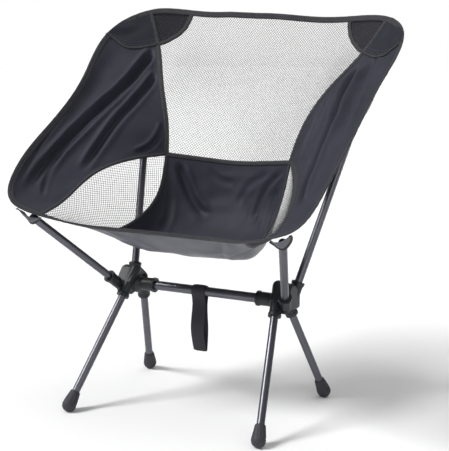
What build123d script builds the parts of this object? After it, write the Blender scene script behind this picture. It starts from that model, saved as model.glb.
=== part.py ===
"""Ultralight take-apart camp chair: a crossbar between two moulded hubs, four legs, four
uprights and a fabric sling whose corner pockets sit over the tips of the uprights.

The origin is on the floor under the middle of the chair's outline. +Z is up, -Y is the way
the sitter faces, and left and right are as seen from in front, so +X is right. Millimetres.
The right half is written out, and the left half is its mirror image. All is drawn with the
crossbar's axis at Y = 0, and moved by CENTRE_SHIFT as it is saved.
"""

from build123d import *
import os

os.makedirs("parts", exist_ok=True)

CENTRE_SHIFT = -26.9          # from the crossbar's axis to the middle of the chair's outline

# ---------------------------------------------------------------- frame sizes
BAR_HEIGHT = 192.0            # crossbar's axis above the floor
BAR_RADIUS = 8.0
BAR_WALL = 1.2
BAR_HALF_LENGTH = 141.0
TUBE_RADIUS = 6.5             # legs and uprights
TUBE_WALL = 1.0

# where each tube's axis crosses the crossbar's height, and where it ends
LEG_FRONT_ROOT = Vector(141.5, -22, BAR_HEIGHT)
LEG_FRONT_FLOOR = Vector(178, -166, 0)
LEG_REAR_ROOT = Vector(138, 22, BAR_HEIGHT)
LEG_REAR_FLOOR = Vector(178, 111, 0)
UPRIGHT_FRONT_ROOT = Vector(158, -22, BAR_HEIGHT)
UPRIGHT_FRONT_TIP = Vector(221.6, -174.9, 327.7)
UPRIGHT_BACK_ROOT = Vector(153, 17, BAR_HEIGHT)
UPRIGHT_BACK_TIP = Vector(234, 234, 637)

# how far each tube reaches back past the crossbar's height, inside its socket
LEG_FRONT_BACKSET = 8.0
LEG_REAR_BACKSET = 4.0
UPRIGHT_BACKSET = 0.0

# ---------------------------------------------------------------- hub sizes
SOCKET_CLEARANCE = 0.05       # radial, between a tube and its socket
SOCKET_RADIUS = 9.5
SOCKET_LIP_RADIUS = 11.0
SOCKET_LIP_LENGTH = 4.0
LEG_FRONT_SOCKET = 22.0       # from the crossbar's height to the socket's mouth
LEG_REAR_SOCKET = 34.0
UPRIGHT_FRONT_SOCKET = 29.0
UPRIGHT_BACK_SOCKET = 31.0
COLLAR_RADIUS = 11.5
COLLAR_LIP_RADIUS = 12.8
COLLAR_INNER_END = 98.0       # distance of the collar's mouth from the middle of the chair
WEB_NEAR = 134.0              # the plate that joins the four sockets, along the crossbar
WEB_FAR = 163.0
LEG_FRONT_ARM = 32.0          # a front leg's socket carries on up past the crossbar this far
RIVET_PLACE = 112.0
RIVET_RADIUS = 2.0
RIVET_HEAD_RADIUS = 3.8
RIVET_HEAD_HEIGHT = 1.2

# ---------------------------------------------------------------- tube end sizes
FOOT_RADIUS = 11.8
FOOT_CENTRE_HEIGHT = 11.3     # of the rounded base, a little less than its radius
FOOT_TOP_RADIUS = 8.8
FOOT_LENGTH = 25.0            # from the base's centre to the foot's upper rim
FOOT_RIB_COUNT = 14
FOOT_RIB_RADIUS = 0.7
TIP_CAP_RADIUS = 6.9
TIP_CAP_RIM = 3.0
TIP_STEM_LENGTH = 12.0
CORD_STOP_LENGTH = 4.0
JOINT_PLACE = 262.0           # where the two sections of a back upright meet, from the root
FERRULE_REACH = 40.0          # how far the ferrule reaches into each section
FERRULE_WALL = 0.9
CORD_RADIUS = 1.5
CORD_BEND_RADIUS = 6.0
CORD_HOLE_RADIUS = 3.3
CORD_TURN = 6.0               # from the end of a tube to where its cord turns, in the hub
CORD_BRIDGE = Vector(146, 4, BAR_HEIGHT + 9)  # the short cord passes over the long one here
CORD_END_GAP = 3.0

# ---------------------------------------------------------------- sling sizes
CLOTH = 1.6                   # thickness of a sewn panel
HEM = 9.0                     # width of the folded hem
HEM_THICKNESS = 2.4
TAPE = 8.0                    # width of the tape over a seam
SEW_GAP = 2.0                 # gap left between two sewn pieces
TURN_GAP = 3.0                # more gap where the hem turns a corner
PANEL_ROWS = 11               # rows of points that a panel's surface is drawn through
PANEL_COLUMNS = 9
SEAT_SAG = 34.0
WING_SAG = 10.0
BACK_SAG = 6.0
SIDE_MESH_TIP = 40.0          # the net triangle's narrow end stops this far from the corner
PATCH_TOP_REACH = 86.0        # along the top hem from the corner
PATCH_SIDE_REACH = 20.0       # along the side hem past the corner
PATCH_LIFT = 8.0              # the corner patch lies this far in front of the panels
POCKET_WALL = 2.2
POCKET_CLEARANCE = 1.4        # radial, round a tip cap
POCKET_DEPTH = 28.0
POCKET_FRONT_ROOM = 1.0       # past the tip cap, so that an upright may slide as its pocket lifts off
POCKET_BACK_ROOM = 4.0

# the hem's right half, from the middle of the top edge round to the middle of the front
HEM_TOP_MIDDLE = Vector(0, 250, 650)
HEM_TOP_CORNER = Vector(236, 222, 652)
HEM_SIDE_TOP = Vector(281, 170, 628)
HEM_FRONT_CORNER = Vector(207, -184, 335)
HEM_FRONT_QUARTER = Vector(150, -157, 321)
HEM_FRONT_MIDDLE = Vector(0, -120, 313)
SEAT_BACK_CORNER = Vector(120, 78, 410)
SEAT_BACK_MIDDLE = Vector(0, 112, 398)

# ---------------------------------------------------------------- strap sizes
STRAP_WIDTH = 25.0
STRAP_CENTRE = -10.5
STRAP_THICKNESS = 1.6
STRAP_DROP = 107.0
STRAP_CLEARANCE = 0.4
STRAP_TOP_GAP = 3.6           # half the gap between the two layers, just under the crossbar
STRAP_LOW_GAP = 0.5


# ---------------------------------------------------------------- helpers
def save(shape, name):
    """Writes one node."""
    export_step(Pos(0, CENTRE_SHIFT, 0) * shape, f"parts/{name}.step")


def save_pair(shape, name):
    """Writes a right-hand node and its mirror image."""
    save(shape, f"{name}_right")
    save(mirror(shape, about=Plane.YZ), f"{name}_left")


def line_frame(root, end):
    """A plane at root whose Z runs to end, so that places along a tube are heights."""
    return Plane(origin=root, z_dir=end - root)


def rod(frame, radius, low, high):
    """A round bar along a line frame."""
    bar = Cylinder(radius, high - low, align=(Align.CENTER, Align.CENTER, Align.MIN))
    return frame * Pos(0, 0, low) * bar


def cone(frame, low_radius, high_radius, low, high):
    """A tapered bar along a line frame."""
    taper = Cone(low_radius, high_radius, high - low, align=(Align.CENTER, Align.CENTER, Align.MIN))
    return frame * Pos(0, 0, low) * taper


def ball(frame, radius, place):
    """A ball on a line frame."""
    return frame * Pos(0, 0, place) * Sphere(radius)


def pipe(frame, radius, wall, low, high):
    """A tube along a line frame."""
    return rod(frame, radius, low, high) - rod(frame, radius - wall, low - 1, high + 1)


def place_along(root, end, distance):
    """The point at a distance from root on the way to end."""
    return root + (end - root).normalized() * distance


LEG_FRONT = line_frame(LEG_FRONT_ROOT, LEG_FRONT_FLOOR)
LEG_REAR = line_frame(LEG_REAR_ROOT, LEG_REAR_FLOOR)
UPRIGHT_FRONT = line_frame(UPRIGHT_FRONT_ROOT, UPRIGHT_FRONT_TIP)
UPRIGHT_BACK = line_frame(UPRIGHT_BACK_ROOT, UPRIGHT_BACK_TIP)
BAR = Plane(origin=(0, 0, BAR_HEIGHT), x_dir=(0, 1, 0), z_dir=(1, 0, 0))
LEG_FRONT_LENGTH = (LEG_FRONT_FLOOR - LEG_FRONT_ROOT).length
LEG_REAR_LENGTH = (LEG_REAR_FLOOR - LEG_REAR_ROOT).length
UPRIGHT_FRONT_LENGTH = (UPRIGHT_FRONT_TIP - UPRIGHT_FRONT_ROOT).length
UPRIGHT_BACK_LENGTH = (UPRIGHT_BACK_TIP - UPRIGHT_BACK_ROOT).length
BORE_RADIUS = TUBE_RADIUS + SOCKET_CLEARANCE
TUBE_INSIDE = TUBE_RADIUS - TUBE_WALL


# ---------------------------------------------------------------- crossbar and hubs
def rivet_hole(margin):
    """The bar that a hub's rivet fills, from the back of the collar through one tube wall."""
    depth = COLLAR_RADIUS - BAR_RADIUS + BAR_WALL
    frame = Plane(origin=(RIVET_PLACE, BAR_RADIUS - BAR_WALL, BAR_HEIGHT), z_dir=(0, 1, 0))
    return rod(frame, RIVET_RADIUS + margin, -margin, depth + margin)


def make_crossbar():
    """A plain tube, with a rivet hole in the back near each end."""
    tube = pipe(BAR, BAR_RADIUS, BAR_WALL, -BAR_HALF_LENGTH, BAR_HALF_LENGTH)
    hole = rivet_hole(SOCKET_CLEARANCE)
    return tube - hole - mirror(hole, about=Plane.YZ)


def make_rivet():
    """A rivet with a low domed head behind the collar."""
    head_frame = Plane(origin=(RIVET_PLACE, COLLAR_RADIUS + SOCKET_CLEARANCE, BAR_HEIGHT), z_dir=(0, 1, 0))
    head = cone(head_frame, RIVET_HEAD_RADIUS, RIVET_RADIUS, 0, RIVET_HEAD_HEIGHT)
    return rivet_hole(0) + rod(head_frame, RIVET_RADIUS, -1, 0.5) + head


def socket(frame, mouth, backset):
    """The outside of one socket: a round sleeve with a thick lip at its mouth."""
    sleeve = rod(frame, SOCKET_RADIUS, -backset, mouth)
    lip = rod(frame, SOCKET_LIP_RADIUS, mouth - SOCKET_LIP_LENGTH, mouth)
    flare_start = mouth - 2 * SOCKET_LIP_LENGTH
    flare = cone(frame, SOCKET_RADIUS, SOCKET_LIP_RADIUS, flare_start, mouth - SOCKET_LIP_LENGTH)
    return sleeve + lip + flare


def make_hub():
    """A collar on the crossbar and four sockets, joined by a thick web."""
    web_outline = Polyline(
        (-25, BAR_HEIGHT - 16), (-6, BAR_HEIGHT - 13), (8, BAR_HEIGHT - 13),
        (28, BAR_HEIGHT - 16), (29, BAR_HEIGHT + 12), (6, BAR_HEIGHT + 30),
        (-8, BAR_HEIGHT + 30), (-28, BAR_HEIGHT + 8), close=True,
    )
    web_face = Plane(origin=(WEB_NEAR, 0, 0), x_dir=(0, 1, 0), z_dir=(1, 0, 0)) * make_face(web_outline)
    web = extrude(web_face, amount=WEB_FAR - WEB_NEAR)
    web = fillet(web.edges().filter_by(Axis.X), 4)
    web = chamfer(web.faces().sort_by(Axis.X)[-1].edges(), 3)
    hub = web + rod(BAR, COLLAR_RADIUS, COLLAR_INNER_END, WEB_NEAR + 5)
    hub += rod(BAR, COLLAR_LIP_RADIUS, COLLAR_INNER_END, COLLAR_INNER_END + SOCKET_LIP_LENGTH)
    hub += cone(BAR, COLLAR_RADIUS, SOCKET_RADIUS + 7, WEB_NEAR - 10, WEB_NEAR)
    hub += ball(LEG_FRONT, SOCKET_RADIUS, -LEG_FRONT_ARM)
    hub -= rod(BAR, BAR_RADIUS + SOCKET_CLEARANCE, COLLAR_INNER_END - 1, BAR_HALF_LENGTH + SOCKET_CLEARANCE)
    bores = {
        "leg_front": (LEG_FRONT, LEG_FRONT_SOCKET, LEG_FRONT_BACKSET, LEG_FRONT_ARM),
        "leg_rear": (LEG_REAR, LEG_REAR_SOCKET, LEG_REAR_BACKSET, LEG_REAR_BACKSET + CORD_TURN),
        "upright_front": (UPRIGHT_FRONT, UPRIGHT_FRONT_SOCKET, UPRIGHT_BACKSET, UPRIGHT_BACKSET + CORD_TURN),
        "upright_back": (UPRIGHT_BACK, UPRIGHT_BACK_SOCKET, UPRIGHT_BACKSET, UPRIGHT_BACKSET + CORD_TURN),
    }
    for frame, mouth, backset, reach in bores.values():
        hub += socket(frame, mouth, reach)
    for frame, mouth, backset, reach in bores.values():
        hub -= rod(frame, BORE_RADIUS, -backset - SOCKET_CLEARANCE, 2 * mouth)
    hub -= cord_passage(long_cord_turns())
    hub -= cord_passage(short_cord_turns())
    for frame, mouth, backset, reach in bores.values():
        hub -= rod(frame, CORD_HOLE_RADIUS, -backset - CORD_TURN, 0)
    return hub - rivet_hole(SOCKET_CLEARANCE)


def long_cord_turns():
    """Where the cord between a front leg and a back upright turns, inside the hub."""
    return [
        place_along(LEG_FRONT_ROOT, LEG_FRONT_FLOOR, -LEG_FRONT_BACKSET - CORD_TURN),
        place_along(UPRIGHT_BACK_ROOT, UPRIGHT_BACK_TIP, -UPRIGHT_BACKSET - CORD_TURN),
    ]


def short_cord_turns():
    """Where the cord between a rear leg and a front upright turns, inside the hub."""
    return [
        place_along(LEG_REAR_ROOT, LEG_REAR_FLOOR, -LEG_REAR_BACKSET - CORD_TURN),
        CORD_BRIDGE,
        place_along(UPRIGHT_FRONT_ROOT, UPRIGHT_FRONT_TIP, -UPRIGHT_BACKSET - CORD_TURN),
    ]


def cord_passage(turns):
    """The hole through the hub that a shock cord runs in."""
    hole = Pos(*turns[0]) * Sphere(CORD_HOLE_RADIUS)
    for start, finish in zip(turns, turns[1:]):
        hole += rod(line_frame(start, finish), CORD_HOLE_RADIUS, 0, (finish - start).length)
        hole += Pos(*finish) * Sphere(CORD_HOLE_RADIUS)
    return hole


def make_shock_cord(start, turns, finish):
    """An elastic cord from the foot of a leg, through the hub, to the tip of an upright."""
    route = FilletPolyline(start, *turns, finish, radius=CORD_BEND_RADIUS)
    section = Plane(origin=start, z_dir=turns[0] - start) * Circle(CORD_RADIUS)
    return sweep(section, path=route)


# ---------------------------------------------------------------- legs and feet
def foot_centre(root, floor):
    """Distance from the root to the centre of the foot's rounded base."""
    length = (floor - root).length
    return length * (1 - FOOT_CENTRE_HEIGHT / BAR_HEIGHT)


def make_leg(frame, root, floor, backset):
    """A plain tube from its socket's floor to just inside the foot's rounded base."""
    return pipe(frame, TUBE_RADIUS, TUBE_WALL, -backset, foot_centre(root, floor))


def make_foot(frame, root, floor):
    """A flared rubber cup with fine ribs and a round base, worn flat where it stands."""
    centre = foot_centre(root, floor)
    rim = centre - FOOT_LENGTH
    foot = ball(frame, FOOT_RADIUS, centre) + cone(frame, FOOT_TOP_RADIUS, FOOT_RADIUS - 0.3, rim + 2, centre)
    foot += cone(frame, FOOT_TOP_RADIUS - 0.9, FOOT_TOP_RADIUS, rim, rim + 2)
    for number in range(FOOT_RIB_COUNT):
        turn = Rot(0, 0, 360 * number / FOOT_RIB_COUNT)
        low = Vector(FOOT_TOP_RADIUS - 0.2, 0, rim + 5)
        high = Vector(FOOT_RADIUS - 0.8, 0, centre - 4)
        foot += frame * turn * rod(line_frame(low, high), FOOT_RIB_RADIUS, 0, (high - low).length)
    foot -= rod(frame, BORE_RADIUS, rim - 1, centre + SOCKET_CLEARANCE)
    below_floor = Pos(floor.X, floor.Y, -25) * Box(80, 80, 50)
    return foot - below_floor


def make_cord_stop(frame, root, floor):
    """A drilled plug in the bottom of a leg, which the shock cord is tied through."""
    end = foot_centre(root, floor)
    plug = rod(frame, TUBE_INSIDE - SOCKET_CLEARANCE, end - CORD_STOP_LENGTH, end)
    return plug - rod(frame, CORD_RADIUS + 0.3, end - CORD_STOP_LENGTH - 1, end + 1)


# ---------------------------------------------------------------- uprights
def make_tip_cap(frame, length):
    """A round-nosed plug in the end of an upright, over which a corner pocket fits."""
    cap = rod(frame, TIP_CAP_RADIUS, length, length + TIP_CAP_RIM)
    nose = ball(frame, TIP_CAP_RADIUS, length + TIP_CAP_RIM) & rod(
        frame, TIP_CAP_RADIUS + 1, length + TIP_CAP_RIM, length + TIP_CAP_RIM + 5
    )
    stem = rod(frame, TUBE_INSIDE - SOCKET_CLEARANCE, length - TIP_STEM_LENGTH, length)
    return cap + nose + stem


def make_upright_front():
    """A short plain tube that carries a front corner."""
    return pipe(UPRIGHT_FRONT, TUBE_RADIUS, TUBE_WALL, -UPRIGHT_BACKSET, UPRIGHT_FRONT_LENGTH)


def make_upright_back_lower():
    """The lower section of a back upright."""
    return pipe(UPRIGHT_BACK, TUBE_RADIUS, TUBE_WALL, -UPRIGHT_BACKSET, JOINT_PLACE)


def make_upright_back_upper():
    """The upper section, which slips over the ferrule."""
    return pipe(UPRIGHT_BACK, TUBE_RADIUS, TUBE_WALL, JOINT_PLACE, UPRIGHT_BACK_LENGTH)


def make_ferrule():
    """The sleeve fixed inside the lower section, on which the upper section slides."""
    radius = TUBE_INSIDE - SOCKET_CLEARANCE
    return pipe(UPRIGHT_BACK, radius, FERRULE_WALL, JOINT_PLACE - FERRULE_REACH, JOINT_PLACE + FERRULE_REACH)


# ---------------------------------------------------------------- sling
def mirrored(point):
    """The same place on the other side of the chair."""
    return Vector(-point.X, point.Y, point.Z)


HEM_LINE = Spline(
    HEM_TOP_MIDDLE, (125, 248, 647), HEM_TOP_CORNER, HEM_SIDE_TOP, (280, 60, 544), (278, -60, 463),
    (276, -150, 405), (255, -194, 357), HEM_FRONT_CORNER, HEM_FRONT_QUARTER, (80, -130, 315),
    HEM_FRONT_MIDDLE, tangents=[(1, 0, 0), (-1, 0, 0)],
)
MESH_SEAM = Spline(SEAT_BACK_CORNER, (131, 98, 461), (158, 130, 521), (200, 190, 587), HEM_TOP_CORNER)
WING_SEAM = Spline(SEAT_BACK_CORNER, (159, -6, 404), (185, -66, 384), (199, -125, 352), HEM_FRONT_CORNER)
SEAT_SEAM = Spline(SEAT_BACK_CORNER, (118, 45, 345), (124, -15, 310), (136, -85, 299), HEM_FRONT_QUARTER)
SEAT_BACK_SEAM = Spline(
    mirrored(SEAT_BACK_CORNER), (-65, 100, 403), SEAT_BACK_MIDDLE, (65, 100, 403), SEAT_BACK_CORNER
)
PATCH_EDGE = Spline((150, 246, 638), (183, 205, 598), (203, 190, 590), (240, 184, 599), (281, 160, 613))

# the side of each panel that the sitter touches, as a rough direction
WING_FACING = Vector(-0.6, -0.4, 0.7)
SIDE_MESH_FACING = Vector(-0.8, 0, 0.6)
SEAT_FACING = Vector(0, -0.3, 1)
BACK_FACING = Vector(0, -0.9, 0.4)
PATCH_FACING = Vector(-0.35, -0.8, 0.5)

TOP_STATION = HEM_LINE.param_at_point(HEM_TOP_CORNER)
SIDE_STATION = HEM_LINE.param_at_point(HEM_SIDE_TOP)
CORNER_STATION = HEM_LINE.param_at_point(HEM_FRONT_CORNER)
QUARTER_STATION = HEM_LINE.param_at_point(HEM_FRONT_QUARTER)
HALF_TAPE = TAPE / 2 + SEW_GAP
INSIDE_HEM = HEM + SEW_GAP


def stretch(edge, start=0.0, end=1.0):
    """Part of an edge as a function from 0 to 1."""
    return lambda value: edge.position_at(start + (end - start) * value)


def other_side(curve):
    """A curve's mirror image, run the same way."""
    return lambda value: mirrored(curve(value))


def both_sides(curve):
    """A curve that starts at the chair's middle, run from its left end to its right end."""
    return lambda value: curve(2 * value - 1) if value > 0.5 else mirrored(curve(1 - 2 * value))


def straight(start, end):
    """A straight line as a function from 0 to 1."""
    return lambda value: start * (1 - value) + end * value


def surface_point(near, far, low, high, across, along):
    """A point on the surface between four curves: near and far run along, low and high across."""
    sides = near(along) * (1 - across) + far(along) * across
    ends = low(across) * (1 - along) + high(across) * along
    low_corners = near(0) * (1 - across) + far(0) * across
    high_corners = near(1) * (1 - across) + far(1) * across
    return sides + ends - low_corners * (1 - along) - high_corners * along


def swell(across, along):
    """1 in the middle of a panel and 0 at its edges."""
    return 16 * across * (1 - across) * along * (1 - along)


def cloth_grid(near, far, low, high, trims, sag):
    """Points over a panel that stops short of its four curves by the trims."""
    trim_near, trim_far, trim_low, trim_high = trims
    rows = []
    for row in range(PANEL_ROWS):
        share = row / (PANEL_ROWS - 1)
        points = []
        for column in range(PANEL_COLUMNS):
            across = column / (PANEL_COLUMNS - 1)
            height = (high(across) - low(across)).length
            along = trim_low / height + share * (1 - (trim_low + trim_high) / height)
            width = (far(along) - near(along)).length
            place = trim_near / width + across * (1 - (trim_near + trim_far) / width)
            point = surface_point(near, far, low, high, place, along)
            points.append(point + sag * swell(place, along))
        rows.append(points)
    return rows


def grid_normal(rows, row, column, facing):
    """The unit normal of a grid of points, on the facing side."""
    up = rows[min(row + 1, len(rows) - 1)][column] - rows[max(row - 1, 0)][column]
    across = rows[row][min(column + 1, len(rows[0]) - 1)] - rows[row][max(column - 1, 0)]
    normal = up.cross(across).normalized()
    return normal if normal.dot(facing) > 0 else -normal


def cloth_solid(rows, facing, thickness=CLOTH):
    """A sheet of cloth whose outer face passes through a grid of points."""
    raised = [
        [point + grid_normal(rows, row, column, facing) * thickness for column, point in enumerate(points)]
        for row, points in enumerate(rows)
    ]
    outer = Face.make_surface_from_array_of_points(rows, tol=0.05)
    inner = Face.make_surface_from_array_of_points(raised, tol=0.05)
    edges = zip(outer.edges(), inner.edges())
    sides = [Face.make_surface_from_curves(low, high) for low, high in edges]
    sheet = Solid(Shell([outer, inner, *sides]))
    return sheet if sheet.volume > 0 else Solid(sheet.wrapped.Reversed())


def strip_grid(curve, start_trim, end_trim, offsets):
    """Points over a strip beside or astride a curve; each offset is a direction and a distance."""
    length = sum((curve((n + 1) / 40) - curve(n / 40)).length for n in range(40))
    low, high = start_trim / length, 1 - end_trim / length
    rows = []
    for row in range(2 * PANEL_ROWS):
        value = low + (high - low) * row / (2 * PANEL_ROWS - 1)
        point = curve(value)
        run = (curve(value + 0.004) - curve(value - 0.004)).normalized()
        points = []
        for aim, distance in offsets:
            toward = aim(value, point)
            square = toward - run * toward.dot(run)
            points.append(point + square.normalized() * distance)
        rows.append(points)
    return rows


def make_wing():
    """The solid side panel, from the seams up to the side hem."""
    rows = cloth_grid(
        stretch(MESH_SEAM), stretch(HEM_LINE, CORNER_STATION, SIDE_STATION),
        stretch(WING_SEAM), stretch(HEM_LINE, TOP_STATION, SIDE_STATION),
        (HALF_TAPE, INSIDE_HEM + TURN_GAP, HALF_TAPE, INSIDE_HEM + TURN_GAP), WING_FACING * -WING_SAG,
    )
    return cloth_solid(rows, WING_FACING)


def make_side_mesh():
    """The open net triangle between the seat and the wing."""
    rows = cloth_grid(
        stretch(SEAT_SEAM), stretch(WING_SEAM),
        straight(SEAT_BACK_CORNER, SEAT_BACK_CORNER), stretch(HEM_LINE, QUARTER_STATION, CORNER_STATION),
        (HALF_TAPE, HALF_TAPE, SIDE_MESH_TIP, INSIDE_HEM), Vector(0, 0, 0),
    )
    return cloth_solid(rows, SIDE_MESH_FACING)


def make_seat():
    """The solid base, from the front hem down and up again to the lower back."""
    rows = cloth_grid(
        other_side(stretch(SEAT_SEAM)), stretch(SEAT_SEAM),
        stretch(SEAT_BACK_SEAM), both_sides(stretch(HEM_LINE, 1, QUARTER_STATION)),
        (HALF_TAPE, HALF_TAPE, HALF_TAPE, INSIDE_HEM), Vector(0, 0, -SEAT_SAG),
    )
    return cloth_solid(rows, SEAT_FACING)


def make_back_mesh():
    """The open net panel of the back."""
    rows = cloth_grid(
        other_side(stretch(MESH_SEAM)), stretch(MESH_SEAM),
        stretch(SEAT_BACK_SEAM), both_sides(stretch(HEM_LINE, 0, TOP_STATION)),
        (HALF_TAPE, HALF_TAPE, HALF_TAPE, INSIDE_HEM), BACK_FACING * -BACK_SAG,
    )
    return cloth_solid(rows, BACK_FACING)


def make_corner_patch():
    """The stiff corner reinforcement, sewn over the net and the wing under the top corner."""
    top = TOP_STATION - PATCH_TOP_REACH / HEM_LINE.length
    side = SIDE_STATION + PATCH_SIDE_REACH / HEM_LINE.length
    low = stretch(PATCH_EDGE)
    high = stretch(HEM_LINE, top, side)
    rows = cloth_grid(
        straight(low(0), high(0)), straight(low(1), high(1)), low, high,
        (HALF_TAPE, HALF_TAPE, 0, INSIDE_HEM), Vector(0, 0, 0),
    )
    lift = PATCH_FACING * PATCH_LIFT
    return cloth_solid([[point + lift for point in row] for row in rows], PATCH_FACING)


def make_side_hem():
    """The folded edge from a front corner up the side and round the top corner."""
    inner = straight(Vector(165, -70, 385), Vector(212, 150, 585))
    rows = strip_grid(
        stretch(HEM_LINE, CORNER_STATION, TOP_STATION), SEW_GAP, SEW_GAP,
        [(lambda value, point: inner(value) - point, HEM), (lambda value, point: inner(value) - point, 0)],
    )
    return cloth_solid(rows, WING_FACING, HEM_THICKNESS)


def make_top_hem():
    """The folded edge across the top of the back."""
    down = Vector(0, -0.48, -0.88)
    rows = strip_grid(
        both_sides(stretch(HEM_LINE, 0, TOP_STATION)), SEW_GAP, SEW_GAP,
        [(lambda value, point: down, HEM), (lambda value, point: down, 0)],
    )
    return cloth_solid(rows, BACK_FACING, HEM_THICKNESS)


def front_hem_aim(value, point):
    """Down into the seat in the middle, and level towards the corners."""
    share = point.X / HEM_FRONT_CORNER.X
    return Vector(-0.2 * share, 0.8, 1.05 * share * share - 0.8)


def make_front_hem():
    """The folded edge across the front of the seat."""
    rows = strip_grid(
        both_sides(stretch(HEM_LINE, 1, CORNER_STATION)), SEW_GAP, SEW_GAP,
        [(front_hem_aim, HEM), (front_hem_aim, 0)],
    )
    return cloth_solid(rows, SEAT_FACING, HEM_THICKNESS)


def seam_tape(curve, start_trim, end_trim, first_aim, second_aim, facing):
    """A woven tape folded over a seam, half of it on each panel."""
    rows = strip_grid(
        curve, start_trim, end_trim, [(first_aim, TAPE / 2), (first_aim, 0), (second_aim, TAPE / 2)]
    )
    return cloth_solid(rows, facing)


def make_back_seam_tape():
    """The tape between the back net and a wing."""
    hem = stretch(HEM_LINE, CORNER_STATION, SIDE_STATION)
    return seam_tape(
        stretch(MESH_SEAM), TAPE, INSIDE_HEM + 4, lambda value, point: Vector(-1, 0, 0),
        lambda value, point: hem(value) - point, WING_FACING,
    )


def make_wing_seam_tape():
    """The tape between a wing and the side net."""
    seat = stretch(SEAT_SEAM)
    top = stretch(HEM_LINE, TOP_STATION, SIDE_STATION)
    return seam_tape(
        stretch(WING_SEAM), TAPE, INSIDE_HEM + TURN_GAP, lambda value, point: seat(value) - point,
        lambda value, point: top(value) - point, WING_FACING,
    )


def make_seat_side_tape():
    """The tape between the seat and a side net."""
    wing = stretch(WING_SEAM)
    return seam_tape(
        stretch(SEAT_SEAM), TAPE, INSIDE_HEM, lambda value, point: Vector(-1, 0, -0.4),
        lambda value, point: wing(value) - point, SIDE_MESH_FACING,
    )


def make_seat_back_tape():
    """The tape between the seat and the back net."""
    return seam_tape(
        stretch(SEAT_BACK_SEAM), TAPE, TAPE, lambda value, point: Vector(0, -0.35, -0.93),
        lambda value, point: Vector(0, 0.48, 0.88), BACK_FACING,
    )


def drop_space(root, end, radius, low, high):
    """The space an upright's end needs so that the corner can be lifted straight off it."""
    start = place_along(root, end, low)
    finish = place_along(root, end, high)
    fall = Vector(0, 0, -2 * POCKET_DEPTH)
    side = extrude(make_face(Polyline(start, finish, finish + fall, start + fall, close=True)), radius, both=True)
    frame = line_frame(root, end)
    below = rod(Plane(origin=finish, z_dir=fall), radius, 0, fall.length)
    return rod(frame, radius, low, high) + ball(frame, radius, high) + side + below


def make_pocket(root, end, end_room):
    """A corner pocket: a hood over the tip of an upright, open underneath."""
    length = (end - root).length
    frame = line_frame(root, end)
    inside = TIP_CAP_RADIUS + POCKET_CLEARANCE
    outside = inside + POCKET_WALL
    tip = length + TIP_CAP_RIM + end_room
    hood = rod(frame, outside, tip - POCKET_DEPTH, tip) + ball(frame, outside, tip)
    return hood - drop_space(root, end, inside, tip - 2 * POCKET_DEPTH, tip)


# ---------------------------------------------------------------- storage strap
def make_strap():
    """A webbing loop that hangs double from the crossbar."""
    frame = Plane(origin=(STRAP_CENTRE, 0, BAR_HEIGHT), x_dir=(0, 1, 0), z_dir=(1, 0, 0))
    inner_radius = BAR_RADIUS + STRAP_CLEARANCE
    outer_radius = inner_radius + STRAP_THICKNESS
    inner = Circle(inner_radius) + hanging_outline(STRAP_TOP_GAP, STRAP_LOW_GAP, STRAP_DROP - STRAP_THICKNESS)
    outer = Circle(outer_radius) + hanging_outline(
        STRAP_TOP_GAP + STRAP_THICKNESS, STRAP_LOW_GAP + STRAP_THICKNESS, STRAP_DROP
    )
    return extrude(frame * (outer - inner), STRAP_WIDTH / 2, both=True)


def hanging_outline(top_half_width, low_half_width, drop):
    """A long tapered outline that hangs from the crossbar's axis."""
    return make_face(
        Polyline(
            (-top_half_width, 0), (top_half_width, 0), (low_half_width, -drop), (-low_half_width, -drop),
            close=True,
        )
    )


def save_frame():
    """Writes the crossbar, hubs, legs and uprights with what is inside them."""
    save(make_crossbar(), "crossbar")
    save_pair(make_rivet(), "hub_rivet")
    save_pair(make_hub(), "hub")
    leg_ends = {
        "front": (LEG_FRONT, LEG_FRONT_ROOT, LEG_FRONT_FLOOR, LEG_FRONT_BACKSET),
        "rear": (LEG_REAR, LEG_REAR_ROOT, LEG_REAR_FLOOR, LEG_REAR_BACKSET),
    }
    for place, (frame, root, floor, backset) in leg_ends.items():
        save_pair(make_leg(frame, root, floor, backset), f"leg_{place}")
        save_pair(make_foot(frame, root, floor), f"foot_{place}")
        save_pair(make_cord_stop(frame, root, floor), f"cord_stop_{place}")
    save_pair(make_upright_front(), "upright_front")
    save_pair(make_tip_cap(UPRIGHT_FRONT, UPRIGHT_FRONT_LENGTH), "tip_cap_front")
    save_pair(make_upright_back_lower(), "upright_back_lower")
    save_pair(make_upright_back_upper(), "upright_back_upper")
    save_pair(make_ferrule(), "upright_back_ferrule")
    save_pair(make_tip_cap(UPRIGHT_BACK, UPRIGHT_BACK_LENGTH), "tip_cap_back")
    cord_reach = TIP_STEM_LENGTH + CORD_END_GAP
    long_cord = make_shock_cord(
        place_along(LEG_FRONT_ROOT, LEG_FRONT_FLOOR, foot_centre(LEG_FRONT_ROOT, LEG_FRONT_FLOOR)),
        long_cord_turns(),
        place_along(UPRIGHT_BACK_ROOT, UPRIGHT_BACK_TIP, UPRIGHT_BACK_LENGTH - cord_reach),
    )
    short_cord = make_shock_cord(
        place_along(LEG_REAR_ROOT, LEG_REAR_FLOOR, foot_centre(LEG_REAR_ROOT, LEG_REAR_FLOOR)),
        short_cord_turns(),
        place_along(UPRIGHT_FRONT_ROOT, UPRIGHT_FRONT_TIP, UPRIGHT_FRONT_LENGTH - cord_reach),
    )
    save_pair(long_cord, "shock_cord_long")
    save_pair(short_cord, "shock_cord_short")
    save(make_strap(), "storage_strap")


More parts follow.
